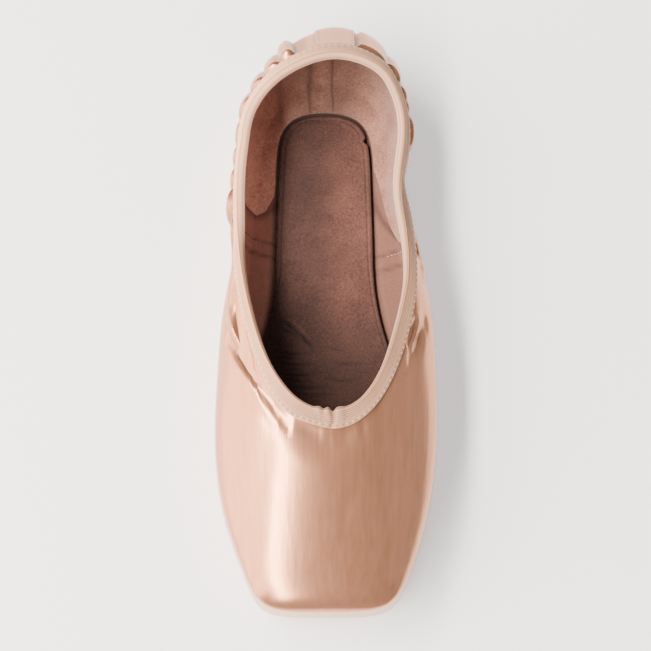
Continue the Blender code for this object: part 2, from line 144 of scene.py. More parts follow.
def keyRib(row, sign):
    # control points of one key rib, from the lasted edge to the rim
    plan, wall = planTable[row], wallTable[row]
    rise = wall.instep * (shoe["instepHeight"] - shoe["waistHeight"])
    rise += wall.heel * (shoe["heelHeight"] - shoe["waistHeight"])
    wideAcross, rimAcross = (
        (plan.wideRight, plan.rimRight) if sign > 0 else (plan.wideLeft, plan.rimLeft)
    )
    outsole = fromShares(plan.outsoleAlong, plan.outsoleAcross, sign, 0)
    insole = fromShares(plan.insoleAlong, plan.insoleAcross, sign, 0)
    wide = fromShares(plan.wideAlong, wideAcross, sign, wall.wide * shoe["instepHeight"])
    rim = fromShares(plan.rimAlong, rimAcross, sign, shoe["waistHeight"] + rise)
    halfBall = shoe["ballWidth"] / 2 / shoe["length"]
    front = planTable[0].outsoleAlong + planTable[4].outsoleAcross * halfBall
    back = planTable[-1].outsoleAlong - planTable[-4].outsoleAcross * halfBall
    middle = fromShares(np.clip(plan.outsoleAlong, front, back), 0, 1, 0)
    edge = levelStep(outsole, middle, shoe["lastedMargin"])
    feather = levelStep(insole, wide, shoe["featherMargin"])
    foot = feather + shoe["footReach"] * (wide - feather)
    low = feather + wall.low * (wide - feather)
    low[2] = seat + (wide[2] - seat) * (1 - wall.low) * shoe["footLift"]
    shoulder = wide + shoe["shoulderReach"] * (rim - wide)
    shoulder[2] = wall.shoulder * shoe["instepHeight"]
    crown = []
    for reach in shoe["crownReaches"]:
        place = wide + reach * (rim - wide)
        place[2] = shoulder[2] + (1 - (1 - reach) ** wall.crown) * (rim[2] - shoulder[2])
        crown.append(place)
    return [edge, outsole, insole, feather, foot, low, wide, shoulder, *crown, rim]


keyOrder = [(row, 1) for row in range(heelRib + 1)]
keyOrder += [(row, -1) for row in range(heelRib - 1, 0, -1)]
keyPoints = np.array([keyRib(row, sign) for row, sign in keyOrder])
keyBox = np.array([wallTable[row].box for row, sign in keyOrder])


def ribWeights(ribs):
    # a closed smooth curve through the key ribs
    ring = np.eye(ribCount)
    solve = (4 * ring + np.roll(ring, 1, axis=0) + np.roll(ring, -1, axis=0)) / 6
    start = np.floor(ribs).astype(int)
    t = ribs - start
    shares = ((1 - t) ** 3, 3 * t**3 - 6 * t**2 + 4, -3 * t**3 + 3 * t**2 + 3 * t + 1, t**3)
    weights = np.zeros((len(ribs), ribCount))
    for step, share in enumerate(shares):
        weights[np.arange(len(ribs)), (start + step - 1) % ribCount] += share / 6
    return weights @ np.linalg.inv(solve)


def strandWeights(count, ups):
    # a cubic B-spline up the wall, which ends on its end points
    degree = 3
    inner = np.linspace(0, 1, count - degree + 1)
    knots = np.concatenate((np.zeros(degree), inner, np.ones(degree)))
    ups = np.clip(ups, 0, 1 - 1e-9)[:, None]
    weights = ((knots[:-1] <= ups) & (ups < knots[1:])).astype(float)
    for order in range(1, degree + 1):
        lower, upper = knots[: -order - 1], knots[order + 1 :]
        rise = np.where(knots[order:-1] > lower, knots[order:-1] - lower, np.inf)
        fall = np.where(upper > knots[1:-order], upper - knots[1:-order], np.inf)
        left = (ups - lower) / rise * weights[:, :-1]
        weights = left + (upper - ups) / fall * weights[:, 1:]
    return weights


def controlsAt(ribs):
    shape = (ribCount, -1)
    controls = (ribWeights(ribs) @ keyPoints.reshape(shape)).reshape(len(ribs), -1, 3)
    flat = controls[:, : footControl + 1]
    flat[..., 2] = seat + underside(flat[..., 1] / shoe["length"] + 0.5)
    return controls


def rawWall(ribs, ups):
    # points of the wall's outer face, for matching arrays of ribs and of shares up the wall
    ribs, ups = np.broadcast_arrays(ribs, ups)
    controls = controlsAt(ribs.ravel())[:, featherControl:]
    weights = strandWeights(controls.shape[1], ups.ravel())
    return np.einsum("nc,ncx->nx", weights, controls).reshape(ribs.shape + (3,))


# The CAD's box gives how far the shoe was moved to stand over the origin.
coarse = rawWall(np.arange(0, ribCount, 0.125)[:, None], np.linspace(0, 1, 41)[None])
upperLow, upperHigh = (np.array(corner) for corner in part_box("upper"))
middleOfWall = (coarse.min(axis=(0, 1)) + coarse.max(axis=(0, 1))) / 2
centring = ((upperLow + upperHigh) / 2 - middleOfWall) * (1, 1, 0)


def controlLine(ribs, control):
    return controlsAt(ribs)[:, control] + centring


def wallPoints(ribs, ups):
    return rawWall(ribs, ups) + centring


def unit(ways):
    return ways / np.maximum(np.linalg.norm(ways, axis=-1, keepdims=True), 1e-12)


def wallFrame(ribs, ups):
    # place, outward normal and upward way at the points
    ribs, ups = np.broadcast_arrays(ribs, ups)
    step = 0.02
    around = rawWall(ribs + step, ups) - rawWall(ribs - step, ups)
    higher, lower = np.clip(ups + step / 2, 0, 1), np.clip(ups - step / 2, 0, 1)
    upward = rawWall(ribs, higher) - rawWall(ribs, lower)
    normal = unit(np.cross(around, upward))
    return wallPoints(ribs, ups), normal, unit(upward)


def smooth(low, high, values):
    t = np.clip((values - low) / (high - low), 0, 1)
    return t * t * (3 - 2 * t)


def bump(values, width):
    return np.exp(-((values / width) ** 2))


def stretch(values, start, full, fade, end):
    # rises from start to full, and falls again from fade to end
    return smooth(start, full, values) * (1 - smooth(fade, end, values))


def wallDepth(ribs, ups):
    # thickness of the wall: thin at the feather and the rim
    ribs, ups = np.broadcast_arrays(ribs, ups)
    box = np.clip(ribWeights(ribs.ravel()) @ keyBox, 0, 1).reshape(ribs.shape)
    ramp = smooth(0, 1, np.minimum(ups / 0.3, (1 - ups) / 0.25))
    return shoe["quarterWall"] + (shoe["boxWall"] - shoe["quarterWall"]) * box * ramp


# Two measures place everything on the wall: how far along the rim from the throat's middle,
# to the right or (less than nothing) to the left, and how far down from the rim.
gridPerRib = 12
ribGrid = np.linspace(0, ribCount, gridPerRib * ribCount + 1)
upGrid = np.linspace(0, 1, 121)
wallGrid = rawWall(ribGrid[:, None], upGrid[None])
rimSteps = np.linalg.norm(np.diff(wallGrid[:, -1], axis=0), axis=1)
rimPlaces = np.concatenate(((0,), np.cumsum(rimSteps)))
rimLength = rimPlaces[-1]
downSteps = np.linalg.norm(np.diff(wallGrid[:, ::-1], axis=1), axis=2)
downGrid = np.concatenate((np.zeros((len(ribGrid), 1)), np.cumsum(downSteps, axis=1)), axis=1)
downGrid = downGrid[:, ::-1]
reachGrid = np.linspace(0, 0.09, 181)
upsByReach = np.array([np.interp(reachGrid, downs[::-1], upGrid[::-1]) for downs in downGrid])
heelPlace = np.interp(heelRib, ribGrid, rimPlaces)


def readGrid(table, rows, columns):
    rows = np.clip(rows, 0, table.shape[0] - 1.000001)
    columns = np.clip(columns, 0, table.shape[1] - 1.000001)
    row, column = rows.astype(int), columns.astype(int)
    down, right = rows - row, columns - column
    top = table[row, column] * (1 - right) + table[row, column + 1] * right
    bottom = table[row + 1, column] * (1 - right) + table[row + 1, column + 1] * right
    return top * (1 - down) + bottom * down


def rimPlace(ribs):
    place = np.interp(np.mod(ribs, ribCount), ribGrid, rimPlaces)
    return np.where(place > rimLength / 2, place - rimLength, place)


def ribAt(place):
    return np.interp(np.mod(place, rimLength), rimPlaces, ribGrid)


def downFromRim(ribs, ups):
    ribs, ups = np.broadcast_arrays(np.mod(ribs, ribCount), ups)
    return readGrid(downGrid, ribs * gridPerRib, ups * (len(upGrid) - 1))


def upAt(ribs, down):
    ribs, down = np.broadcast_arrays(np.mod(ribs, ribCount), down)
    return readGrid(upsByReach, ribs * gridPerRib, down / reachGrid[1])


# Making pieces


def deselect():
    bpy.ops.object.select_all(action="DESELECT")


def editMesh(piece, *steps):
    deselect()
    piece.select_set(True)
    bpy.context.view_layer.objects.active = piece
    bpy.ops.object.mode_set(mode="EDIT")
    bpy.ops.mesh.select_all(action="SELECT")
    for step in steps:
        step()
    bpy.ops.object.mode_set(mode="OBJECT")


def mergeDoubles():
    bpy.ops.mesh.remove_doubles(threshold=0.000002)


def faceOutward():
    bpy.ops.mesh.normals_make_consistent(inside=False)


def addWeb(name, places, loopAround=False, loopAcross=False, tone=None):
    # a grid whose vertices are moved to places, an array of (around, across, 3); tone is how
    # light each vertex is: painted light and shade, and small marks
    around, across = places.shape[:2]
    columns = around if loopAround else around - 1
    rows = across if loopAcross else across - 1
    deselect()
    bpy.ops.mesh.primitive_grid_add(x_subdivisions=columns, y_subdivisions=rows, size=1)
    piece = bpy.context.object
    piece.name = piece.data.name = name
    flat = np.empty(len(piece.data.vertices) * 3)
    piece.data.vertices.foreach_get("co", flat)
    flat = flat.reshape(-1, 3)
    column = np.rint((flat[:, 0] + 0.5) * columns).astype(int) % around
    row = np.rint((flat[:, 1] + 0.5) * rows).astype(int) % across
    piece.data.vertices.foreach_set("co", places[column, row].ravel())
    if tone is not None:
        layer = piece.data.color_attributes.new(name="tone", type="FLOAT_COLOR", domain="POINT")
        layer.data.foreach_set("color", np.repeat(tone[column, row], 4))
    editMesh(piece, mergeDoubles, faceOutward)
    bpy.ops.object.shade_smooth()
    return piece


def bothFaces(outer, inner):
    # the section of a sheet: its outer face, then back along its inner face
    return np.concatenate((outer, inner[:, ::-1]), axis=1)


def finishPiece(piece, material, node=None):
    piece.data.materials.clear()
    piece.data.materials.append(material)
    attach(piece, "root")
    if node:
        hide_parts(node)
    print("made", piece.name, len(piece.data.polygons), "faces")


def linear(hexColour):
    value = [int(hexColour[i : i + 2], 16) / 255 for i in (1, 3, 5)]
    value = [v / 12.92 if v <= 0.04045 else ((v + 0.055) / 1.055) ** 2.4 for v in value]
    return (*value, 1)


def addNode(material, kind, output, values=None, links=None, **settings):
    # adds a node and returns one of its outputs, by name or number
    tree = material.node_tree
    node = tree.nodes.new("ShaderNode" + kind)
    for name, value in settings.items():
        setattr(node, name, value)
    for socket, value in (values or {}).items():
        node.inputs[socket].default_value = value
    for socket, source in (links or {}).items():
        tree.links.new(source, node.inputs[socket])
    return node.outputs[output]


def newMaterial(name, values):
    material = bpy.data.materials.new(name)
    material.use_nodes = True
    surface = material.node_tree.nodes["Principled BSDF"]
    for socket, value in values.items():
        surface.inputs[socket].default_value = value
    return material, surface


def toned(material, colour):
    # Multiplies a colour by the piece's own tone attribute. A colour mix has its share in socket
    # 0, its colours in 6 and 7 and its result in output 2.
    tone = addNode(material, "VertexColor", "Color", layer_name="tone")
    settings = {"data_type": "RGBA", "blend_type": "MULTIPLY"}
    return addNode(material, "Mix", 2, {0: 1.0}, {6: colour, 7: tone}, **settings)


def cover(material, surface, colour, height, strength, distance):
    # gives the surface its colour, and raises it by a pattern of heights
    size = {"Strength": strength, "Distance": distance}
    raised = addNode(material, "Bump", "Normal", size, {"Height": height})
    material.node_tree.links.new(colour, surface.inputs["Base Color"])
    material.node_tree.links.new(raised, surface.inputs["Normal"])


# Materials

satinLook = {
    "face": "#DA9870",
    "shade": "#BC7A54",
    "rose": "#D5977C",
    "sheenTint": "#FFE9DA",
    "roughness": 0.25,
    "threadSpacing": 0.8 * mm,  # drawn coarser than the real warp, or it wouldn't show
    "threadHeight": 0.06 * mm,
    "slubLength": 30 * mm,
    "cloudScale": 45.0,  # so its clouds of rose are about 20 mm wide and four times as long
}


def makeSatin():
    # Woven polyester satin: long warp floats along the shoe, so it shines in soft lengthwise bands.
    look = satinLook
    material, surface = newMaterial(
        "peach satin",
        {
            "Roughness": look["roughness"],
            "Metallic": 0.78,
            "Sheen Weight": 0.08,
            "Sheen Roughness": 0.45,
            "Sheen Tint": linear(look["sheenTint"]),
            "Coat Weight": 0.05,
            "Coat Roughness": 0.30,
        },
    )
    add = partial(addNode, material)
    place = add("TexCoord", "Object")
    drawnOut = {"Scale": (1, look["threadSpacing"] / look["slubLength"], 1)}
    threads = add("Mapping", "Vector", drawnOut, {"Vector": place})
    fine = {"Scale": 0.5 / look["threadSpacing"], "Detail": 3.0, "Roughness": 0.6}
    streaks = add("TexNoise", "Fac", fine, {"Vector": threads})
    lengthened = add("Mapping", "Vector", {"Scale": (1, 0.25, 1)}, {"Vector": place})
    broad = {"Scale": look["cloudScale"], "Detail": 2.0, "Roughness": 0.5}
    clouds = add("TexNoise", "Fac", broad, {"Vector": lengthened})
    colours = {6: linear(look["face"]), 7: linear(look["rose"])}
    base = add("Mix", 2, colours, {0: clouds}, data_type="RGBA")
    shade = {7: linear(look["shade"])}
    colour = add("Mix", 2, shade, {6: base, 0: streaks}, data_type="RGBA")
    cover(material, surface, toned(material, colour), streaks, 0.5, look["threadHeight"])
    return material


bindingSizes = {
    "columns": 640,
    "outside": 6.9 * mm,
    "inside": 5.0 * mm,
    "outsideRows": 42,
    "foldRows": 11,
    "insideRows": 20,
    "thickness": 0.85 * mm,
    "gap": 0.12 * mm,
    "ribs": 8,
    "ribHeight": 0.13 * mm,
    "foldBead": 0.15 * mm,
    # shares, and the places in mm along the rim where each starts, is full, fades and ends
    "leftPull": 0.18,
    "leftPullOver": (-150, -100, -40, -20),
    "rightSpread": 0.2,
    "rightSpreadOver": (12, 45, 100, 130),
    "rightTuck": 0.55,  # its inner leg hardly shows there
    "rightShade": 0.30,
    "rightShadeAndTuckOver": (8, 40, 125, 160),
    "leftLight": 0.40,
    "leftLightOver": (6, 34, 135, 170),  # leftwards
    "throatDarker": 0.22,
    "throatPull": 1.5 * mm,
    "cleftPlace": 0.4,  # mm right of the throat's middle
}

tapeLook = {
    "face": "#D19A76",
    "groove": "#A17256",
    "bead": "#E2C2AC",
    "ropeSpacing": 0.75 * mm,
    "relief": 0.10 * mm,
    "rows": 79,  # of the section's faces, and where the fold lies among them
    "foldRow": 49.5,
}


def makeTape():
    # Ribbed elastic webbing, polyester over rubber: dull, fine lengthwise ribs that fade to a
    # flatter outer edge, and a twist of cross threads that shows only along the fold. The ribs'
    # grooves are drawn darker, as painted shade, and the twist paler: a rope texture with a
    # painted highlight on the fold's edge.
    look = tapeLook
    material, surface = newMaterial(
        "elastic webbing", {"Roughness": 0.75, "Sheen Weight": 0.08, "Sheen Roughness": 0.5}
    )
    add = partial(addNode, material)
    uv = add("UVMap", "UV", uv_map="UVMap")
    across = add("SeparateXYZ", "Y", links={"Vector": uv})
    outerLeg = (bindingSizes["outsideRows"] - 1) / look["rows"]
    wave = {"Scale": 2 * np.pi * bindingSizes["ribs"] / outerLeg / 20, "Phase Offset": np.pi}
    ribs = add("TexWave", "Fac", wave, {"Vector": uv}, bands_direction="Y")
    valley = add("Math", 0, {0: 1.0}, {1: ribs}, operation="SUBTRACT")
    sharp = add("Math", 0, {1: 3.0}, {0: valley}, operation="POWER")
    ribStart = {1: 0.30 * outerLeg, 2: 0.45 * outerLeg}
    ribbed = add("MapRange", 0, ribStart, {0: across})
    lines = add("Math", 0, links={0: sharp, 1: ribbed}, operation="MULTIPLY")
    wave = {"Scale": 2 * np.pi * rimLength / look["ropeSpacing"] / 20, "Distortion": 0.4}
    rope = add("TexWave", "Fac", wave, {"Vector": uv}, bands_direction="X")
    fold = {1: look["foldRow"] / look["rows"]}
    fromFold = add("Math", 0, fold, {0: across}, operation="SUBTRACT")
    away = add("Math", 0, links={0: fromFold}, operation="ABSOLUTE")
    fade = {1: 0.05, 2: 0.02, 3: 0.0, 4: 0.45}
    nearFold = add("MapRange", 0, fade, {0: away})
    twist = add("Math", 0, links={0: rope, 1: nearFold}, operation="MULTIPLY")
    place = add("TexCoord", "Object")
    hairs = {"Scale": 2200.0, "Detail": 3.0}  # tufts of about half a millimetre
    fuzz = add("TexNoise", "Fac", hairs, {"Vector": place})
    colours = {6: linear(look["face"]), 7: linear(look["groove"])}
    # painted shade in the grooves between the ribs, and a painted highlight on the twist at the fold
    ribbedFace = add("Mix", 2, colours, {0: lines}, data_type="RGBA")
    bead = {7: linear(look["bead"])}
    colour = add("Mix", 2, bead, {0: twist, 6: ribbedFace}, data_type="RGBA")
    rough = add("Math", 0, links={0: twist, 1: fuzz}, operation="ADD")
    height = add("Math", 0, links={0: rough, 1: lines}, operation="SUBTRACT")
    cover(material, surface, toned(material, colour), height, 0.6, look["relief"])
    return material


# The soft matt faces: a fine nap, and larger patches where it is rubbed the other way. Grain,
# height and patch are in mm.
Nap = namedtuple("Nap", "face worn roughness grain height patch sheen hasTone")


def makeNapped(name, nap):
    material, surface = newMaterial(
        name, {"Roughness": nap.roughness, "Sheen Weight": nap.sheen, "Sheen Roughness": 0.5}
    )
    add = partial(addNode, material)
    place = add("TexCoord", "Object")
    fine = {"Scale": 0.5 / (nap.grain * mm), "Detail": 4.0, "Roughness": 0.65}
    grain = add("TexNoise", "Fac", fine, {"Vector": place})
    broad = {"Scale": 0.5 / (nap.patch * mm), "Detail": 3.0, "Roughness": 0.6}
    patches = add("TexNoise", "Fac", broad, {"Vector": place})
    both = {0: patches, 2: grain}
    mixed = add("Math", 0, {1: 0.45}, both, operation="MULTIPLY_ADD")
    share = add("MapRange", 0, {1: 0.42, 2: 1.02}, {0: mixed})
    colours = {6: linear(nap.face), 7: linear(nap.worn)}
    colour = add("Mix", 2, colours, {0: share}, data_type="RGBA")
    if nap.hasTone:
        colour = toned(material, colour)
    cover(material, surface, colour, grain, 0.7, nap.height * mm)
    return material


satin = makeSatin()
tape = makeTape()
# Split suede under the foot: matt, mottled, a little lighter where the nap is brushed.
suede = makeNapped("sock suede", Nap("#3C1F18", "#754D40", 0.95, 0.42, 0.4, 5, 0.15, True))
# Brushed cotton drill: nearly plain, slightly pink.
cotton = makeNapped("cotton lining", Nap("#9C6552", "#B67E6B", 0.9, 0.4, 0.1, 9, 0.25, True))
# Chrome suede of the heel lining, flecked.
heelSuede = makeNapped("heel suede", Nap("#7E5040", "#BF8E7A", 0.95, 0.42, 0.3, 3, 0.3, True))
# Buffed leather of the outsole: pale, dry and faintly scratched.
soleLeather = makeNapped("sole leather", Nap("#B08F78", "#C4A68F", 0.8, 0.6, 0.1, 7, 0.1, False))
# Spun polyester thread, with a slight shine.
thread = makeNapped("sewing thread", Nap("#C9A893", "#DDC0AC", 0.6, 0.3, 0.03, 3, 0.2, False))
print("materials made")

# Upper


def tapeReach(along):
    # the tape's outer leg is pulled narrower along the left side, and is wider on the right
    place = along / mm
    reach = 1 - bindingSizes["leftPull"] * stretch(place, *bindingSizes["leftPullOver"])
    reach += bindingSizes["rightSpread"] * stretch(place, *bindingSizes["rightSpreadOver"])
    pull = bump(place + 5.0, 9.0) + 0.35 * bump(place - 12.0, 8.0)
    return bindingSizes["outside"] * reach - bindingSizes["throatPull"] * pull


# Creases of the satin: points are (along the rim, down from the rim) in mm,
# and depth is how far the middle sinks, or rises if it is less than nothing.
Crease = namedtuple("Crease", "route width depth")
creaseTable = (
    Crease(((-74, 9.4), (-66, 9.8), (-58, 10.2), (-51, 10.2), (-44, 9.4)), 3.9, 2.3),
    Crease(((-62, 20), (-56, 17.2), (-50, 14.6), (-43, 12.2), (-36, 10.6)), 2.5, 1.5),
    Crease(((-44, 11.6), (-36, 10.6), (-28, 10.0), (-20, 9.4), (-15, 10.5)), 1.4, 0.9),
    Crease(((-46, 16.5), (-38, 14.6), (-29, 13.2), (-20, 12.6)), 1.9, -0.45),
    Crease(((-68, 16.6), (-61, 15.8), (-55, 14.6)), 1.8, -0.9),
    Crease(((-77, 8), (-72.6, 9)), 1.4, 0.9),
    Crease(((48.5, 10.2), (53, 10.8), (58, 12.4)), 1.5, 1.9),
    Crease(((65, 19.5), (59, 17.6), (54, 16.2), (46, 14.8)), 2.9, 1.4),
    Crease(((61, 15), (56, 14.2), (50, 13.2)), 1.6, -0.6),
    Crease(((42.5, 15.4), (36.2, 14.2)), 1.4, 0.5),
    Crease(((88.5, 13.4), (84.5, 12.6)), 1.4, 1.5),
    Crease(((84.3, 15.6), (80, 16)), 2.4, -0.9),
    Crease(((-11, 7.6), (-4, 7.2)), 1.4, 0.45),
    Crease(((-2.3, 7.2), (-1.6, 9.4)), 1.1, -0.16),
    Crease(((0.7, 7.6), (1.6, 10.4)), 1.2, -0.16),
    Crease(((9.0, 8.0), (9.8, 9.6)), 1.0, -0.3),
    Crease(((13.4, 8.2), (14.4, 10.0)), 1.0, -0.3),
    Crease(((11.3, 8.0), (12.0, 10.8)), 1.2, 0.22),
    Crease(((5.0, 7.8), (5.8, 10.4)), 1.3, 0.18),
    Crease(((7.2, 30), (6.4, 34)), 2.2, 0.13),
    Crease(((4.6, 33), (4.9, 37), (4.4, 42)), 2.2, 0.15),
    Crease(((7.0, 36), (6.4, 41)), 2.0, -0.12),
    Crease(((5.4, 44), (7.0, 46)), 2.2, 0.12),
    Crease(((2.6, 37), (2.8, 41)), 1.9, -0.09),
)

# Gathers under the binding round the heel: where along the rim each lobe sits, its half
# width, how far it stands out and how far down it runs, in mm.
Lobe = namedtuple("Lobe", "place width height reach")
lobeTable = (
    Lobe(-163.4, 3.2, 3.2, 36),
    Lobe(-155.2, 4.4, 3.5, 32),
    Lobe(-146.6, 4.2, 2.6, 27),
    Lobe(-138.9, 3.8, 2.5, 25),
    Lobe(-130.6, 4.4, 2.1, 22),
    Lobe(-122.6, 4.0, 1.8, 20),
    Lobe(-116.0, 3.4, 2.0, 19),
    Lobe(-109.4, 3.4, 2.3, 19),
    Lobe(-101.8, 4.6, 3.1, 22),
    Lobe(-92.6, 4.6, 2.0, 17),
    Lobe(-84.0, 4.0, 1.3, 14),
    Lobe(152.0, 8.0, 2.3, 36),
    Lobe(140.2, 4.6, 2.7, 28),
    Lobe(132.6, 3.4, 2.2, 22),
    Lobe(128.4, 2.6, 1.9, 19),
    Lobe(121.0, 5.2, 2.5, 22),
    Lobe(112.2, 4.4, 1.8, 18),
    Lobe(103.5, 4.4, 1.4, 16),
    Lobe(95.5, 4.0, 1.2, 15),
)

upperSizes = {
    "ribs": 512,
    "underRows": 12,
    "wallRows": 90,
    "insideRows": 16,
    "liningThickness": 0.5 * mm,
    "heelStripHalf": 7.7 * mm,
    "gatherSink": 0.35,  # mm that the satin between the gathers lies lower
    "gatherShade": 0.42,  # how much darker it is painted there, as shade, and in the next three places
    "tapeShade": 0.30,
    "creaseShade": 0.45,
    "stripShade": 0.75,
    "pleats": 30,
    "pleatHeight": 0.45 * mm,
    "pleatRibs": 6.6,
    "ridgePlace": 1.0,  # mm: the vamp is a little crowned along its middle
    "ridgeWidth": 19.0,
    "ridgeHeight": 1.3,
    "ridgeStart": (-40, -52),  # it rises towards the toe here, and up the wall here
    "ridgeRise": (26, 36),
    "squareShare": 0.76,  # the platform's upper edge is nearly square
    "squareFall": 0.34,  # and the edges of the wings are rounder
    "wingRibs": (2.0, 4.2),  # ribs away from the toe's middle, where the wings start
    "boxRibs": (4.5, 8.0),  # and where the box ends
    "cornerRun": 21 * mm,
}


def cutCorners(route):
    # rounds a route by cutting its corners three times over, and keeps its ends
    points = np.array(route, float)
    for _ in range(3 if len(points) > 2 else 0):
        start, end = points[:-1], points[1:]
        cuts = np.stack((start * 0.75 + end * 0.25, start * 0.25 + end * 0.75), axis=1)
        points = np.concatenate((points[:1], cuts.reshape(-1, 2)[1:-1], points[-1:]))
    return points


def routeDistance(along, down, route):
    # distance in mm to a rounded route, and how far along it the nearest point lies
    route = cutCorners(route)
    best = np.full(along.shape, np.inf)
    share = np.zeros(along.shape)
    pieces = len(route) - 1
    for number, ((s0, d0), (s1, d1)) in enumerate(zip(route, route[1:])):
        way = np.array((s1 - s0, d1 - d0))
        t = ((along - s0) * way[0] + (down - d0) * way[1]) / (way @ way)
        held = np.clip(t, 0, 1)
        distance = np.hypot(along - s0 - held * way[0], down - d0 - held * way[1])
        nearer = distance < best
        best = np.where(nearer, distance, best)
        share = np.where(nearer, (number + held) / pieces, share)
    return best, share


def findCorner():
    # For each rib of the grid: how far down from the rim the wall is widest, and the point where
    # the top of the box would meet an upright side if the turn between them were sharp.
    ribMesh, upMesh = np.meshgrid(ribGrid, upGrid, indexing="ij")
    place, normal, upward = wallFrame(ribMesh, upMesh)
    pick = np.arange(len(ribGrid))
    low, high = 20, 100  # rows of the grid, clear of the wall's two edges
    widest = low + np.abs(normal[:, low:high, 2]).argmin(axis=1)
    widestDown = downGrid[pick, widest]
    topUp = upAt(ribGrid, np.maximum(widestDown - upperSizes["cornerRun"], 0))
    top, topNormal, fall = wallFrame(ribGrid, topUp)
    side = place[pick, widest]
    rise = unit(np.stack((-1.5 * side[:, 0], 0 * side[:, 0], 1 + 0 * side[:, 0]), axis=1))
    cross = (rise * fall).sum(axis=1)
    between = top - side
    reach = (between * rise).sum(axis=1) - (between * fall).sum(axis=1) * cross
    reach = reach / np.maximum(1 - cross**2, 0.05)
    corner = side + rise * reach[:, None]
    span = 13  # grid ribs on each side, over which the grid's steps are evened out
    window = np.hanning(2 * span + 1)
    window /= window.sum()

    def even(values):
        ring = np.concatenate((values[-span - 1 : -1], values, values[1 : span + 1]))
        return np.convolve(ring, window, "valid")

    return even(widestDown), np.stack([even(corner[:, axis]) for axis in range(3)], axis=1)


widestLine, cornerPoints = findCorner()


def squareOff(places, ribs, ups):
    # draws the rounded edge of the box towards a sharper corner
    turned = np.mod(ribs, ribCount)
    away = np.minimum(turned, ribCount - turned)
    above = np.interp(turned, ribGrid, widestLine) - downFromRim(ribs, ups)
    run = np.clip(above / upperSizes["cornerRun"], 0, 1)
    square = upperSizes["squareShare"] - upperSizes["squareFall"] * smooth(*upperSizes["wingRibs"], away)
    share = square * np.sin(np.pi * run) ** 1.2 * (1 - smooth(*upperSizes["boxRibs"], away))
    corner = [np.interp(turned, ribGrid, cornerPoints[:, axis]) for axis in range(3)]
    return places + (np.stack(corner, axis=-1) - places) * share[..., None]


def satinRelief(ribs, ups):
    # how far the satin stands out from the last, or sinks in, in metres
    along = rimPlace(ribs) / mm
    down = downFromRim(ribs, ups) / mm
    relief = np.zeros(along.shape)
    for crease in creaseTable:
        distance, share = routeDistance(along, down, crease.route)
        taper = 0.55 + 0.45 * np.sin(np.pi * share)
        relief -= crease.depth * taper * bump(distance, crease.width)
    lobes = np.zeros(along.shape)
    for lobe in lobeTable:
        arch = np.sqrt(np.clip(1 - ((along - lobe.place) / lobe.width) ** 2, 0, 1))
        run = 1 - smooth(0.4 * lobe.reach, lobe.reach, down)
        lobes = np.maximum(lobes, lobe.height * arch * run)
    gathered = smooth(76, 86, np.abs(along))
    relief += lobes - upperSizes["gatherSink"] * gathered * (1 - smooth(8, 22, down))
    place = rawWall(ribs, ups) / mm
    ridge = bump(place[..., 0] - upperSizes["ridgePlace"], upperSizes["ridgeWidth"])
    ridge *= smooth(*upperSizes["ridgeStart"], place[..., 1])
    ridge *= smooth(*upperSizes["ridgeRise"], place[..., 2])
    relief += upperSizes["ridgeHeight"] * ridge * smooth(7, 20, down)
    # it lies flat beside the heel strip and under the tape
    fromStrip = np.abs(np.abs(along) - heelPlace / mm) * mm
    fromStrip = np.minimum(fromStrip, np.abs(along * mm + rimLength - heelPlace))
    relief *= smooth(upperSizes["heelStripHalf"], upperSizes["heelStripHalf"] + 1.4 * mm, fromStrip)
    relief *= smooth(-0.9, 1.7, down - tapeReach(along * mm) / mm)
    return relief * mm


def satinTone(ribs, ups):
    # painted shade: the satin is drawn darker deep in the gathers, in the deep creases, close
    # under the tape and beside the heel strip
    ribs, ups = np.broadcast_arrays(ribs, ups)
    along = rimPlace(ribs) / mm
    down = downFromRim(ribs, ups) / mm
    under = down - tapeReach(along * mm) / mm
    crest = np.zeros(along.shape)
    for lobe in lobeTable:
        crest = np.maximum(crest, bump((along - lobe.place) / lobe.width, 0.62))
    gathered = smooth(80, 90, np.abs(along)) * (1 - smooth(10, 20, under))
    tone = 1 - upperSizes["gatherShade"] * gathered * (1 - crest)
    tone *= 1 - upperSizes["tapeShade"] * bump(under, 0.9)
    for crease in creaseTable:
        if crease.depth > 0.7:
            distance, share = routeDistance(along, down, crease.route)
            taper = np.sqrt(np.clip(np.sin(np.pi * share), 0.02, 1))
            # a wide trough is shaded right up its sides
            shadeWidth = min(0.36 * crease.width, 1.0) * crease.width
            tone *= 1 - upperSizes["creaseShade"] * taper * bump(distance, shadeWidth)
    fromStrip = heelPlace / mm - np.abs(along) - upperSizes["heelStripHalf"] / mm
    return tone * (1 - upperSizes["stripShade"] * bump(fromStrip, 0.8) * (1 - smooth(14, 22, down)))


def pleatRelief(ribs, inward):
    # pleats of the satin drawn in under the box; inward runs from the feather to the lasted edge
    away = np.minimum(ribs, ribCount - ribs)
    turn = ribs / ribCount * upperSizes["pleats"] * ribCount / (2 * upperSizes["pleatRibs"])
    wave = turn - np.floor(turn)
    fold = smooth(0, 0.75, wave) * (1 - smooth(0.75, 1.0, wave)) - 0.5
    fade = 1 - smooth(0.75, 1.0, away / upperSizes["pleatRibs"])
    return upperSizes["pleatHeight"] * fold * fade * smooth(0.0, 0.45, inward)


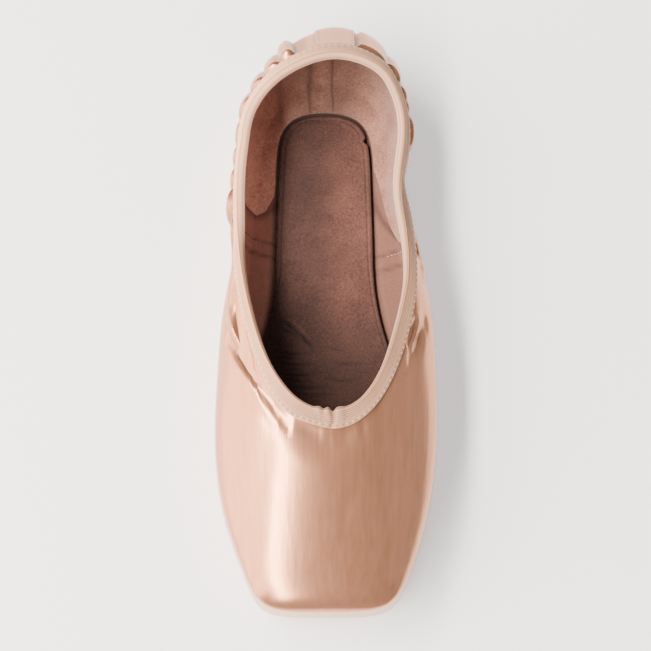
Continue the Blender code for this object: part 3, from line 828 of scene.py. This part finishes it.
def makeUpper():
    count = upperSizes["ribs"]
    ribs = np.arange(count) * ribCount / count
    ups = np.linspace(0, 1, upperSizes["wallRows"]) ** 0.94
    ribMesh, upMesh = np.meshgrid(ribs, ups, indexing="ij")
    place, normal, upward = wallFrame(ribMesh, upMesh)
    place = squareOff(place, ribMesh, upMesh)
    outer = place + normal * satinRelief(ribMesh, upMesh)[..., None]
    edge, feather = controlLine(ribs, edgeControl), controlLine(ribs, featherControl)
    inward = np.linspace(1, 0, upperSizes["underRows"], endpoint=False)
    under = feather[:, None] + (edge - feather)[:, None] * inward[None, :, None]
    outsole = controlLine(ribs, outsoleControl)
    outsoleShare = np.linalg.norm((outsole - feather)[:, :2], axis=1)
    outsoleShare /= np.linalg.norm((edge - feather)[:, :2], axis=1)
    free = np.clip(inward[None] / outsoleShare[:, None], 0, 1.5)
    fold = pleatRelief(ribs[:, None], free) * (1 - smooth(0.9, 1.05, free))
    under[..., 2] -= fold
    insideUps = np.linspace(1, 0, upperSizes["insideRows"])
    ribMesh, upMesh = np.meshgrid(ribs, insideUps, indexing="ij")
    place, normal, upward = wallFrame(ribMesh, upMesh)
    depth = wallDepth(ribMesh, upMesh) - upperSizes["liningThickness"] - 0.1 * mm
    inside = place - normal * depth[..., None]
    cloth = shoe["quarterWall"] - upperSizes["liningThickness"]
    inside[:, -1] = feather + (0, 0, cloth)
    innerEdge = edge + (0, 0, cloth)
    sections = np.concatenate((under, outer, inside, innerEdge[:, None]), axis=1)
    tone = np.ones(sections.shape[:2])
    first = upperSizes["underRows"]
    tone[:, first : first + upperSizes["wallRows"]] = satinTone(ribs[:, None], ups[None])
    piece = addWeb("upper.satin", sections, loopAround=True, loopAcross=True, tone=tone)
    finishPiece(piece, satin, "upper")


makeUpper()

# Lining

liningSizes = {
    "ribs": 400,
    "rows": 70,
    "seamPlaces": (91.4, -96.5),  # side seams, mm along the rim
    "seamSlant": 0.14,
    "seamWidth": 2.8,
    "seamHeight": 0.45 * mm,
    "seamTop": 8.0,  # mm down from the rim
    "seamShade": 0.4,
    "frontShade": 0.5,  # along the heel lining's front edge
    "bridgeHeight": 3.4 * mm,  # the lining spans the corner beside the insole at this height
    "bridgeGap": 0.35 * mm,
    "tuck": 2.2 * mm,  # and runs on under the insole by this much
    # how light it is: in the shade on the left it is drawn lighter, behind the insole darkest
    "tonePlaces": (-140, -120, -40, -10, 10, 40, 120, 140),
    "tones": (0.25, 1.2, 1.2, 1, 1, 0.5, 0.5, 0.25),
}

counterSizes = {
    "columns": 220,
    "rows": 80,
    "top": 2.5,  # mm down from the rim
    "foot": 44,
    "footGap": 0.9,
    "thickness": 0.5 * mm,
    # painted light and shade: darker at the back, and drawn much lighter on the left, which lies in
    # shade
    "tonePlaces": (110, 135, 155, 180, 225, 240),
    "tones": (0.97, 0.98, 0.46, 0.64, 2.0, 2.1),
}

# Front edge of the heel lining, right and left: how far down from the rim and how far along.
counterFront = {
    "right": ((0, 86), (20, 91), (33, 95.5), (36, 100), (40, 110), (44, 118)),
    "left": ((0, -99), (12, -103), (22, -107.5), (32, -106), (36, -105.3), (40, -106.5), (44, -112)),
}

# Dark and light stripes at the back of the heel lining, along its seams and folds: painted
# shade in the folds and beside the back seam, and a lighter strip over it; depth is how much
# darker. Here places along the rim run on past the heel, so the left side is above 171.
heelStripes = (
    Crease(((174.0, 8), (174.6, 47.5), (175.6, 54.2), (176.8, 63.8)), 1.3, 0.42),
    Crease(((167.6, 8), (165.2, 52.2), (163.8, 59.3), (159.8, 67)), 0.6, 0.50),
    Crease(((189, 30), (192.4, 43.5), (196.7, 47.5)), 2.6, 0.30),
    Crease(((170.3, 8), (169.6, 50), (168.5, 64)), 2.6, -0.2),
    Crease(((130, 33), (124, 40), (120, 47)), 5.0, 0.14),
)


def bridged(points, feather, height):
    # lifts the foot of the lining off the corner, except right beside the insole
    level = seat + underside((points[..., 1] - centring[1]) / shoe["length"] + 0.5) + height
    away = np.linalg.norm((points - feather[:, None])[..., :2], axis=-1)
    lift = np.maximum(level - points[..., 2], 0) * smooth(0, liningSizes["bridgeGap"], away)
    lifted = points.copy()
    lifted[..., 2] += lift
    return lifted


def seamLine(seamPlace, down):
    # the side seams run a little forward on their way down
    return seamPlace - np.sign(seamPlace) * liningSizes["seamSlant"] * (down - 36)


def seamRelief(along, down):
    seam, edges = np.zeros(along.shape), np.zeros(along.shape)
    for seamPlace in liningSizes["seamPlaces"]:
        fromEdge = np.abs(along - seamLine(seamPlace, down)) - liningSizes["seamWidth"] / 2
        seam += 1 - smooth(-0.4, 0.4, fromEdge)
        edges += bump(fromEdge - 0.35, 0.45)
    return seam, edges


def makeLining():
    count = liningSizes["ribs"]
    ribs = np.arange(count) * ribCount / count
    ups = np.linspace(0.0, 0.985, liningSizes["rows"]) ** 1.15
    ribMesh, upMesh = np.meshgrid(ribs, ups, indexing="ij")
    place, normal, upward = wallFrame(ribMesh, upMesh)
    seam, edges = seamRelief(rimPlace(ribMesh) / mm, downFromRim(ribMesh, upMesh) / mm)
    depth = wallDepth(ribMesh, upMesh)
    raised = liningSizes["seamHeight"] * seam * smooth(0.0, 0.04, upMesh)
    inner = place - normal * (depth + raised)[..., None]
    outer = place - normal * (depth - upperSizes["liningThickness"])[..., None]
    feather = controlLine(ribs, featherControl)
    inner = bridged(inner, feather, liningSizes["bridgeHeight"] + raised)
    outer = bridged(outer, feather, liningSizes["bridgeHeight"] - upperSizes["liningThickness"])
    inner[:, 1] = feather + (0, 0, shoe["quarterWall"])
    outer[:, 1] = feather + (0, 0, shoe["quarterWall"] - upperSizes["liningThickness"] + 0.05 * mm)
    under = unit(controlLine(ribs, edgeControl) - feather) * liningSizes["tuck"]
    inner[:, 0], outer[:, 0] = inner[:, 1] + under, outer[:, 1] + under
    along, down = rimPlace(ribMesh) / mm, downFromRim(ribMesh, upMesh) / mm
    # painted shade: darker along the seams' edges and at the foot of the wall beside the insole
    tone = (1 - liningSizes["seamShade"] * edges) * (0.4 + 0.6 * smooth(0, 0.02, upMesh))
    tone *= np.interp(along, liningSizes["tonePlaces"], liningSizes["tones"])
    # painted shade along the heel lining's front edges
    for front in counterFront.values():
        distance, run = routeDistance(down, along, front)
        tone *= 1 - liningSizes["frontShade"] * bump(distance, 1.6)
    tone = np.concatenate((tone, tone[:, ::-1]), axis=1)
    sheet = bothFaces(outer, inner)
    piece = addWeb("lining.cotton", sheet, loopAround=True, loopAcross=True, tone=tone)
    finishPiece(piece, cotton)


def makeCounterLining():
    # the heel lining: a second sheet inside the first, from front edge to front edge
    sizes = counterSizes
    share = np.linspace(0, 1, sizes["columns"])[:, None]
    drop = np.linspace(0, 1, sizes["rows"])
    downs = sizes["top"] + (sizes["foot"] - sizes["top"]) * drop
    right = np.interp(downs, *np.array(counterFront["right"]).T)
    left = np.interp(downs, *np.array(counterFront["left"]).T) + rimLength / mm
    alongs = right + (left - right) * share
    ribMesh = ribAt(alongs * mm)
    reach = downFromRim(ribMesh, 0.0) / mm
    reachDown = sizes["top"] + (reach - sizes["footGap"] - sizes["top"]) * drop
    ups = upAt(ribMesh, reachDown * mm)
    place, normal, upward = wallFrame(ribMesh, ups)
    depth = wallDepth(ribMesh, ups) + 0.05 * mm
    edge = np.minimum(np.minimum(share, 1 - share) * sizes["columns"], 3) / 3
    thick = sizes["thickness"] * (0.5 + 0.5 * edge)
    tone = np.interp(alongs, sizes["tonePlaces"], sizes["tones"])
    striped = np.ones(alongs.shape)
    for stripe in heelStripes:
        distance, run = routeDistance(alongs, reachDown, stripe.route)
        line = stripe.depth * bump(distance, stripe.width)
        striped -= line
        thick = thick - 0.4 * mm * line
    # painted shade at its foot beside the insole, and the stripes
    tone *= striped * (0.2 + 0.8 * smooth(0, 1.4, reach - reachDown))
    tone = np.concatenate((tone, tone[:, ::-1]), axis=1)
    feather = controlLine(ribMesh.ravel(), featherControl)
    lining = []
    for offset in (depth, depth + thick):
        points = (place - normal * offset[..., None]).reshape(-1, 1, 3)
        height = liningSizes["bridgeHeight"] + (offset - depth).reshape(-1, 1) + 0.05 * mm
        lining.append(bridged(points, feather, height).reshape(place.shape))
    piece = addWeb("lining.heel", bothFaces(*lining), loopAcross=True, tone=tone)
    editMesh(piece, closeEnds, faceOutward)
    finishPiece(piece, heelSuede)


def closeEnds():
    bpy.ops.mesh.select_all(action="DESELECT")
    bpy.ops.mesh.select_non_manifold()
    bpy.ops.mesh.fill_holes(sides=0)
    bpy.ops.mesh.select_all(action="SELECT")


makeLining()
makeCounterLining()

# Binding

stitchSizes = {
    "bindingSpacing": 2.3 * mm,
    "bindingInset": 1.0 * mm,
    "stripSpacing": 2.0 * mm,
    "seamSpacing": 1.9,  # mm
    "seamInset": 0.4,  # shares of the seam's width back from its middle
    "onTape": (1.1 * mm, 0.34 * mm),  # length and width of one stitch
    "onSeam": (0.8 * mm, 0.3 * mm),
}

# The knot where the tape's two ends meet at the throat. Place, width and height are in mm from
# the cleft; middle and spread are across the tape, where 0 is its outer edge, 1 the fold and 2
# the inner edge, and least is the share of the height that is left away from the middle.
Puff = namedtuple("Puff", "place width height middle spread least")
throatKnot = (
    Puff(0.0, 0.65, -0.95, 0.9, 0.6, 0.5),
    Puff(2.4, 1.7, 0.75, 0.9, 0.4, 0.35),
    Puff(-1.5, 1.1, 0.4, 0.9, 0.4, 0.35),
    Puff(-5.0, 1.2, 0.7, 1.0, 0.2, 0.0),
    Puff(-1.9, 0.9, 0.5, 1.0, 0.2, 0.0),
)


def tapeRelief(along, share):
    # how far the tape stands out; share runs across it as in the knot's table
    ribs = bindingSizes["ribHeight"] * (np.cos(2 * np.pi * bindingSizes["ribs"] * share) - 1) / 2
    ribs = ribs * smooth(0.3, 0.45, share)
    ribs = ribs * (1 - stretch(share, 0.93, 1.0, 1.0, 1.07))
    bead = bindingSizes["foldBead"] * bump(share - 1, 0.08)
    near = along / mm - bindingSizes["cleftPlace"] - 0.8 * np.sin(2.6 * share)  # the cleft wanders
    knot = 1.1 * bump(near - 4.5, 3.4) * stretch(share, 1.1, 1.25, 1.35, 1.6)
    knot += 0.08 * np.sin(along / mm * 3.1) * bump(near, 7) * (1 - smooth(0.9, 1.2, share))
    for puff in throatKnot:
        across = puff.least + (1 - puff.least) * bump(share - puff.middle, puff.spread)
        knot += puff.height * bump(near - puff.place, puff.width) * across
    return ribs + bead + knot * mm


def tapeTone(along, rows):
    # how light the tape is at each place along the rim and in each row of its section
    sizes = bindingSizes
    tone = np.ones((len(along), rows))
    # dark pricks where the thread goes through, between the stitches, and a second row at the heel
    outer = tone[:, : sizes["outsideRows"]]
    outShares = np.linspace(0, 1, sizes["outsideRows"])
    inset = (outShares * tapeReach(along)[:, None] - stitchSizes["bindingInset"]) / mm
    pitch = rimLength / int(rimLength / stitchSizes["bindingSpacing"])
    fromPrick = np.abs(np.mod(along / pitch + 0.5, 1) - 0.5) * pitch / mm
    atHeel = smooth(152, 160, np.abs(along) / mm)[:, None]
    pricks = bump(fromPrick, 0.45)[:, None] * (bump(inset, 0.4) + atHeel * bump(inset - 1.9, 0.4))
    outer -= 0.7 * pricks
    outer *= 1 - 0.18 * bump(inset - 0.9, 0.35)
    # painted shade: the leg that faces right, away from the light, is darker than the fold above
    # it; painted light: the left side, which faces the light, is paler
    rightward = stretch(along / mm, *sizes["rightShadeAndTuckOver"])
    fromFold = np.abs(np.arange(rows) - tapeLook["foldRow"])
    tone *= 1 - sizes["rightShade"] * rightward[:, None] * smooth(2.0, 5.0, fromFold)[None]
    tone *= 1 + sizes["leftLight"] * stretch(-along / mm, *sizes["leftLightOver"])[:, None]
    # it is drawn darker at the throat
    tone *= 1 - sizes["throatDarker"] * bump(along[:, None] / mm - 6, 26)
    return tone


def makeBinding():
    sizes = bindingSizes
    along = np.arange(sizes["columns"]) * rimLength / sizes["columns"]
    ribs = ribAt(along)
    signed = np.where(along > rimLength / 2, along - rimLength, along)

    def leg(distances, side, extra):
        # distances from the rim have a row for each rib, or are the same for all
        reach = np.broadcast_to(distances, (len(ribs), np.shape(distances)[-1]))
        ribMesh = np.broadcast_to(ribs[:, None], reach.shape)
        ups = upAt(ribMesh, reach)
        place, normal, upward = wallFrame(ribMesh, ups)
        wall = wallDepth(ribMesh, ups)
        offset = extra if side > 0 else -(wall + extra)
        return place + normal * offset[..., None]

    def faceOffset(shares):
        body = sizes["gap"] + sizes["thickness"]
        fromEdge = np.minimum(shares, 2 - shares)
        thinning = sizes["thickness"] * 0.55 * (1 - smooth(0.0, 0.06, fromEdge)[None])
        return body - thinning + tapeRelief(signed[:, None], shares[None])

    outShares = np.linspace(0, 1, sizes["outsideRows"])
    inShares = np.linspace(1, 2, sizes["insideRows"])
    outside = tapeReach(signed)[:, None]
    rightward = stretch(signed / mm, *sizes["rightShadeAndTuckOver"])
    inside = sizes["inside"] * (1 - sizes["rightTuck"] * rightward)[:, None]
    outer = leg((1 - outShares) * outside, 1, faceOffset(outShares))
    inner = leg((inShares - 1) * inside, -1, faceOffset(inShares))
    place, normal, upward = wallFrame(ribs, np.ones(len(ribs)))
    wall = wallDepth(ribs, np.ones(len(ribs)))[:, None]
    middle = place - normal * wall / 2
    angles = np.linspace(0, np.pi, sizes["foldRows"] + 2)[1:-1]
    turn = faceOffset(np.full(len(angles), 1.0))
    fold = [
        middle
        + normal * (wall / 2 + turn[:, :1]) * np.cos(angle)
        + upward * turn[:, :1] * np.sin(angle)
        for angle in angles
    ]
    fold = np.array(fold).transpose(1, 0, 2)
    back = np.full((len(ribs), 3), sizes["gap"])
    innerBack = leg(np.array((1, 0.5, 0.02)) * inside, -1, back)
    outerBack = leg(np.array((0.02, 0.5, 1)) * outside, 1, back)
    sections = np.concatenate((outer, fold, inner, innerBack, outerBack), axis=1)
    tone = tapeTone(signed, sections.shape[1])
    piece = addWeb("binding.tape", sections, loopAround=True, loopAcross=True, tone=tone)
    finishPiece(piece, tape, "collar_binding")


makeBinding()

# Stitches


def makeStitches(name, rows, size):
    # one stitch, modelled once, and a copy of it at each place; rows hold the places, the ways
    # that the stitches run and the normals of the face that they lie on
    length, width = size
    places, ways, normals = (np.concatenate(parts) for parts in zip(*rows))
    deselect()
    bpy.ops.mesh.primitive_uv_sphere_add(segments=8, ring_count=5, radius=0.5)
    first = bpy.context.object
    first.data.transform(Matrix.Diagonal((length, width, width, 1)))
    copies = []
    for place, way, normal in zip(places, unit(ways), unit(normals)):
        side = unit(np.cross(normal, way))
        normal = np.cross(way, side)
        turned = Matrix((way, side, normal)).transposed().to_4x4()
        copy = first.copy()
        copy.data = first.data.copy()
        copy.data.transform(Matrix.Translation(Vector(place)) @ turned)
        bpy.context.collection.objects.link(copy)
        copies.append(copy)
    bpy.data.objects.remove(first)
    deselect()
    for copy in copies:
        copy.select_set(True)
    bpy.context.view_layer.objects.active = copies[0]
    bpy.ops.object.join()
    piece = bpy.context.object
    piece.name = piece.data.name = name
    bpy.ops.object.shade_smooth()
    finishPiece(piece, thread)


def stitchBinding():
    count = int(rimLength / stitchSizes["bindingSpacing"])
    along = (np.arange(count) + 0.5) * rimLength / count
    ribs = ribAt(along)
    signed = np.where(along > rimLength / 2, along - rimLength, along)
    ups = upAt(ribs, tapeReach(signed) - stitchSizes["bindingInset"])
    place, normal, upward = wallFrame(ribs, ups)
    place += normal * (bindingSizes["gap"] + bindingSizes["thickness"] - 0.05 * mm)
    rows = [(place, np.cross(upward, normal), normal)]
    makeStitches("binding.stitches", rows, stitchSizes["onTape"])


def stitchSeams():
    # a row over the back edge of each side seam of the lining
    rows = []
    for seamPlace in liningSizes["seamPlaces"]:
        inset = stitchSizes["seamInset"] * liningSizes["seamWidth"]
        middle = seamPlace + np.sign(seamPlace) * inset
        deepest = downFromRim(ribAt(middle * mm), 0.0) / mm - 3.0
        down = np.arange(liningSizes["seamTop"], deepest, stitchSizes["seamSpacing"])
        ribs = ribAt(seamLine(middle, down) * mm)
        ups = upAt(ribs, down * mm)
        place, normal, upward = wallFrame(ribs, ups)
        depth = wallDepth(ribs, ups) + liningSizes["seamHeight"]
        point = place - normal * depth[:, None]
        feather = controlLine(ribs, featherControl)
        height = liningSizes["bridgeHeight"] + liningSizes["seamHeight"]
        point = bridged(point[:, None], feather, height)[:, 0]
        rows.append((point, np.gradient(point, axis=0), -normal))
    makeStitches("lining.stitches", rows, stitchSizes["onSeam"])


stitchBinding()
stitchSeams()

# Heel strip

stripSizes = {
    "width": 15.0 * mm,
    "thickness": 0.5 * mm,
    "gap": 0.25 * mm,
    "tuck": 6.0 * mm,
    "columns": 25,
    "rows": 90,
    "stitchInset": 1.3 * mm,
}
stripEnd = downFromRim(heelRib, 0.0) - stripSizes["tuck"]


def stripPlaces(across, reach, depth):
    # across in metres from the back seam, reach down from the rim, depth beside the wall
    step = 0.25
    near = wallPoints(heelRib + step, upAt(heelRib, reach))
    far = wallPoints(heelRib - step, upAt(heelRib, reach))
    perRib = np.linalg.norm(near - far, axis=-1) / (2 * step)
    ribs = heelRib + across / perRib
    place, normal, upward = wallFrame(ribs, upAt(ribs, reach))
    return place + normal * depth[..., None], normal, upward


def makeHeelStrip():
    sizes = stripSizes
    reach = np.linspace(bindingSizes["outside"] - 0.4 * mm, stripEnd, sizes["rows"])
    share = np.linspace(-1, 1, sizes["columns"])
    across = share * sizes["width"] / 2
    acrossMesh, reachMesh = np.meshgrid(across, reach, indexing="ij")
    edge = 1 - np.abs(share)[:, None]
    hem = 0.18 * mm * bump(edge - 0.10, 0.07) - 0.12 * mm * bump(edge - 0.18, 0.04)
    hem = hem - 0.3 * mm * (1 - smooth(0, 0.05, edge))
    top = sizes["gap"] + sizes["thickness"] + hem + 0 * reachMesh
    outer, normal, upward = stripPlaces(acrossMesh, reachMesh, top)
    inner, normal, upward = stripPlaces(acrossMesh, reachMesh, sizes["gap"] + 0 * reachMesh)
    # painted shade: darker in the hem's groove, along the strip's edges and just under the tape
    tone = 1 - 0.35 * bump(edge - 0.16, 0.035) - 0.5 * (1 - smooth(0, 0.05, edge))
    tone = tone * (1 - 0.3 * bump((reachMesh - bindingSizes["outside"]) / mm, 0.7))
    tone = np.concatenate((tone, tone[:, ::-1]), axis=1)
    piece = addWeb("heel.strip", bothFaces(outer, inner), loopAcross=True, tone=tone)
    editMesh(piece, closeEnds, faceOutward)
    finishPiece(piece, satin, "heel_strip")


def stitchHeelStrip():
    # a row along each edge
    sizes = stripSizes
    count = int((stripEnd - bindingSizes["outside"]) / stitchSizes["stripSpacing"])
    reach = bindingSizes["outside"] + (np.arange(count) + 0.5) * stitchSizes["stripSpacing"]
    depth = np.full(count, sizes["gap"] + sizes["thickness"] - 0.05 * mm)
    rows = []
    for side in (-1, 1):
        across = np.full(count, side * (sizes["width"] / 2 - sizes["stitchInset"]))
        place, normal, upward = stripPlaces(across, reach, depth)
        rows.append((place, upward, normal))
    makeStitches("heel.stitches", rows, stitchSizes["onTape"])


makeHeelStrip()
stitchHeelStrip()

# Insole

insoleSizes = {
    "rows": 420,
    "bevel": 0.7 * mm,
    "insets": (0.5, 0.9, 1.3, 1.6, 1.9, 2.2, 2.6, 3.3, 4.2),  # mm in from the edge
    "middleColumns": 84,
    "flare": 0.5 * mm,  # the suede's upper edge stands out over the board's
    "grooveInset": 1.6,
    "grooveDepth": 0.35,
    "beadHeight": 0.3,
    "crown": 0.5,
    "notchPlace": 74.4,  # mm from the shoe's middle, in the right edge
    "notchDepth": 1.3,
    "edgeTones": (0.5, 0.8, 1.0),  # painted shade: darker towards its foot, up its side
    "creaseShade": 2.1,
    # painted light and shade: the suede is drawn palest right of its middle, where the light
    # falls, darker on its shaded left, and browner towards the toe, in the shade under the vamp
    "tonePlaces": (-42, -18, -2, 10, 35, 57, 84),
    "leftTones": (0.42, 0.40, 0.42, 0.50, 0.57, 0.50, 0.56),
    "rightTones": (0.44, 0.44, 0.60, 0.86, 1.10, 0.90, 0.84),
    "toneTurn": (-6, 10),
}

# Wrinkles of the insole's suede: points are (across, along) in mm from the shoe's middle.
insoleCreases = (
    Crease(((-17.2, 0.8), (-15.8, 1.2), (-13.6, -1.2), (-12.2, -1.6), (-10.4, -4.6)), 0.6, 0.4),
    Crease(((-11.4, -3.2), (-9.0, -4.4), (-8.0, -6.8), (-5.8, -8.0), (-4.9, -10.4)), 0.65, 0.42),
    Crease(((-15.6, 2.6), (-13.0, 0.6), (-11.2, 0.0), (-8.8, -3.0), (-5.2, -6.4)), 0.8, -0.28),
    Crease(((-17.6, -0.8), (-15.4, -2.8), (-13.4, -3.2), (-10.2, -6.4)), 0.55, 0.26),
    Crease(((-19.5, -10.6), (-15.5, -11.2), (-11.4, -11.9), (-7.5, -11.4)), 0.55, 0.34),
    Crease(((-18.5, -12.6), (-14.5, -13.4), (-10.4, -13.6)), 0.5, 0.3),
    Crease(((-19, -14.6), (-14, -15.6), (-9, -16.0), (-5, -15.4)), 0.55, 0.34),
    Crease(((-17.5, -16.9), (-13, -17.8), (-8.5, -17.6)), 0.5, 0.28),
    Crease(((-18, -18.8), (-12.5, -20.0), (-7, -20.2), (-2, -19.4)), 0.55, 0.34),
    Crease(((-16.5, -21.2), (-11, -22.4), (-5.5, -22.2)), 0.5, 0.3),
    Crease(((-16, -23.6), (-10, -24.9), (-4, -25.0), (2, -24.2)), 0.55, 0.34),
    Crease(((-12, -27.0), (-5, -28.0), (3, -27.3)), 0.5, 0.24),
    Crease(((-1, -9.0), (3.5, -10.2), (8, -9.8)), 0.5, 0.2),
    Crease(((2, -15.0), (8, -16.0), (14, -15.2)), 0.5, 0.22),
    Crease(((0, -21.4), (6, -22.4), (12, -21.6)), 0.5, 0.2),
)


def soleEdges(control, rows):
    # right and left edge of a sole and the way in from each, from the toe to the heel
    steps = np.linspace(0, heelRib, rows)
    sides = []
    for ribs in (steps, np.mod(ribCount - steps, ribCount)):
        edge = controlLine(ribs, control)
        way = (controlLine(ribs, edgeControl) - edge) * (1, 1, 0)
        sides.append((edge, unit(way)))
    return sides


def insideHeight(points, height):
    # sets a height above the lasted edge, which follows the toe spring and the arch
    points = points.copy()
    points[..., 2] = seat + underside((points[..., 1] - centring[1]) / shoe["length"] + 0.5) + height
    return points


def makeInsole():
    sizes = insoleSizes
    (right, rightIn), (left, leftIn) = soleEdges(insoleControl, sizes["rows"])
    notch = sizes["notchDepth"] * mm * bump(right[:, 1] / mm - sizes["notchPlace"], 1.1)
    right = right + rightIn * notch[:, None]
    rest = shoe["quarterWall"] + shoe["clearance"]
    top = rest + shoe["insoleThickness"]
    count = len(right)
    columns, tones = [], []

    def addColumn(points, height, tone):
        across, along = points[:, 0] / mm, points[:, 1] / mm
        leftTone = np.interp(along, sizes["tonePlaces"], sizes["leftTones"])
        rightTone = np.interp(along, sizes["tonePlaces"], sizes["rightTones"])
        # painted light and shade across the suede, from the tables above
        worn = leftTone + (rightTone - leftTone) * smooth(*sizes["toneTurn"], across)
        columns.append(insideHeight(points, height))
        tones.append(tone * worn)

    def addSide(edge, inward, order):
        flare, bevel = sizes["flare"], sizes["bevel"]
        insets = (0.0, -flare, bevel * 0.3 - flare)
        heights = (rest, top - bevel, top - bevel * 0.25)
        runs = list(zip(insets, heights, sizes["edgeTones"]))
        for inset in sizes["insets"]:
            groove = bump(inset - sizes["grooveInset"], 0.32)
            bead = bump(inset - 0.8, 0.5)
            height = top + (sizes["beadHeight"] * bead - sizes["grooveDepth"] * groove) * mm
            # the groove is drawn darker, as painted shade, and the bead a little lighter, as a painted
            # highlight
            runs.append((inset * mm, height, 1 - 0.3 * groove + 0.06 * bead))
        for inset, height, tone in runs[::order]:
            addColumn(edge + inward * inset, height, tone)

    addSide(right, rightIn, 1)
    innerRight = right + rightIn * sizes["insets"][-1] * mm
    innerLeft = left + leftIn * sizes["insets"][-1] * mm
    for part in np.linspace(0, 1, sizes["middleColumns"])[1:-1]:
        points = innerRight * (1 - part) + innerLeft * part
        height = np.full(count, top) + sizes["crown"] * mm * np.sin(np.pi * part)
        tone = 1 + 0.10 * np.sin(points[:, 1] / mm * 0.13 + 1.2) * np.sin(points[:, 0] / mm * 0.21)
        for crease in insoleCreases:
            distance, run = routeDistance(points[:, 0] / mm, points[:, 1] / mm, crease.route)
            sink = crease.depth * bump(distance, crease.width) * (0.3 + 0.7 * np.sin(np.pi * run))
            height -= sink * mm
            # painted shade in the wrinkles
            tone = tone - sizes["creaseShade"] * sink
        addColumn(points, height, tone)
    addSide(left, leftIn, -1)
    # the underside is drawn dark, as painted shade
    for part in np.linspace(0, 1, 8)[1:-1]:
        addColumn(left * (1 - part) + right * part, rest, 0.3)
    sections = np.array(columns).transpose(1, 0, 2)
    piece = addWeb("insole.sock", sections, loopAcross=True, tone=np.array(tones).T)
    finishPiece(piece, suede, "insole")


makeInsole()

# Outsole

outsoleSizes = {
    "rows": 150,
    "bevel": 0.8 * mm,
    "insets": (0.8, 1.4, 2.0, 2.4, 2.8, 3.4, 4.4),
    "scoreInset": 2.4,
    "scoreDepth": 0.35,
    "middleColumns": 26,
}


def makeOutsole():
    sizes = outsoleSizes
    (right, rightIn), (left, leftIn) = soleEdges(outsoleControl, sizes["rows"])

    def sideColumns(edge, inward):
        columns = [insideHeight(edge, -shoe["clearance"])]
        columns.append(insideHeight(edge, sizes["bevel"] - seat))
        middle = edge + inward * sizes["bevel"] * 0.3
        columns.append(insideHeight(middle, sizes["bevel"] * 0.25 - seat))
        for inset in sizes["insets"]:
            score = sizes["scoreDepth"] * bump(inset - sizes["scoreInset"], 0.3) * mm
            columns.append(insideHeight(edge + inward * inset * mm, score - seat))
        return columns

    rightColumns = sideColumns(right, rightIn)
    leftColumns = sideColumns(left, leftIn)
    bottom = []
    for part in np.linspace(0, 1, sizes["middleColumns"])[1:-1]:
        bottom.append(insideHeight(rightColumns[-1] * (1 - part) + leftColumns[-1] * part, -seat))
    top = []
    for part in np.linspace(0, 1, 8)[1:-1]:
        top.append(insideHeight(left * (1 - part) + right * part, -shoe["clearance"]))
    sections = np.array(rightColumns + bottom + leftColumns[::-1] + top).transpose(1, 0, 2)
    piece = addWeb("outsole.leather", sections, loopAcross=True)
    finishPiece(piece, soleLeather, "outsole")


makeOutsole()

# Floor, light and camera

studio = {
    "floorColour": "#FAF9F8",
    "floorGlow": 0.6,  # lit from below too, as a light table is
    "airColour": (0.94, 1.05, 1.13, 1),
    "airStrength": 0.33,
    "cameraPlace": (-0.25 * mm, -181.15 * mm, 681.8 * mm),
    "cameraTilt": 75.0,  # degrees below level
    "lens": 101.2,
    "sensor": 36.0,
}

# A broad key from the left, a long strip that draws the highlight down the vamp, and a weak fill.
Softbox = namedtuple("Softbox", "name place target width height power colour")
softboxes = (
    Softbox("key", (-1.0, -0.10, 0.52), (0, 0, 0.02), 1.6, 1.15, 38, "#FFF3E8"),
    Softbox("strip", (-0.48, -0.4, 1.0), (0, -0.4, 0.03), 2.0, 0.20, 46, "#FFFAF5"),
    Softbox("fill", (1.05, 0.1, 0.56), (0, 0, 0.03), 1.6, 1.1, 1.4, "#EEF2FF"),
)


def makeFloor():
    deselect()
    bpy.ops.mesh.primitive_plane_add(size=8, location=(0, 0, -0.1 * mm))
    floor = bpy.context.object
    bpy.ops.object.transform_apply(location=True, rotation=True, scale=True)
    floor.name = "floor"
    paper, surface = newMaterial(
        "white paper",
        {
            "Base Color": linear(studio["floorColour"]),
            "Roughness": 0.9,
            "Emission Color": (1, 1, 1, 1),
            "Emission Strength": studio["floorGlow"],
        },
    )
    floor.data.materials.append(paper)


def makeLights():
    for box in softboxes:
        lamp = bpy.data.lights.new(box.name, "AREA")
        lamp.shape = "RECTANGLE"
        lamp.size = box.width
        lamp.size_y = box.height
        lamp.energy = box.power
        lamp.color = linear(box.colour)[:3]
        light = bpy.data.objects.new(box.name, lamp)
        light.location = box.place
        aim = Vector(box.target) - Vector(box.place)
        light.rotation_euler = aim.to_track_quat("-Z", "Y").to_euler()
        bpy.context.collection.objects.link(light)
    world = bpy.data.worlds.new("studio air")
    world.use_nodes = True
    air = world.node_tree.nodes["Background"]
    air.inputs["Color"].default_value = studio["airColour"]
    air.inputs["Strength"].default_value = studio["airStrength"]
    bpy.context.scene.world = world


def makeCamera():
    lens = bpy.data.cameras.new("camera")
    lens.lens = studio["lens"]
    lens.sensor_width = studio["sensor"]
    lens.clip_start = 0.01
    camera = bpy.data.objects.new("camera", lens)
    camera.location = studio["cameraPlace"]
    camera.rotation_euler = (np.radians(90 - studio["cameraTilt"]), 0, 0)
    bpy.context.collection.objects.link(camera)
    bpy.context.scene.camera = camera


makeFloor()
makeLights()
makeCamera()
print("stage set")
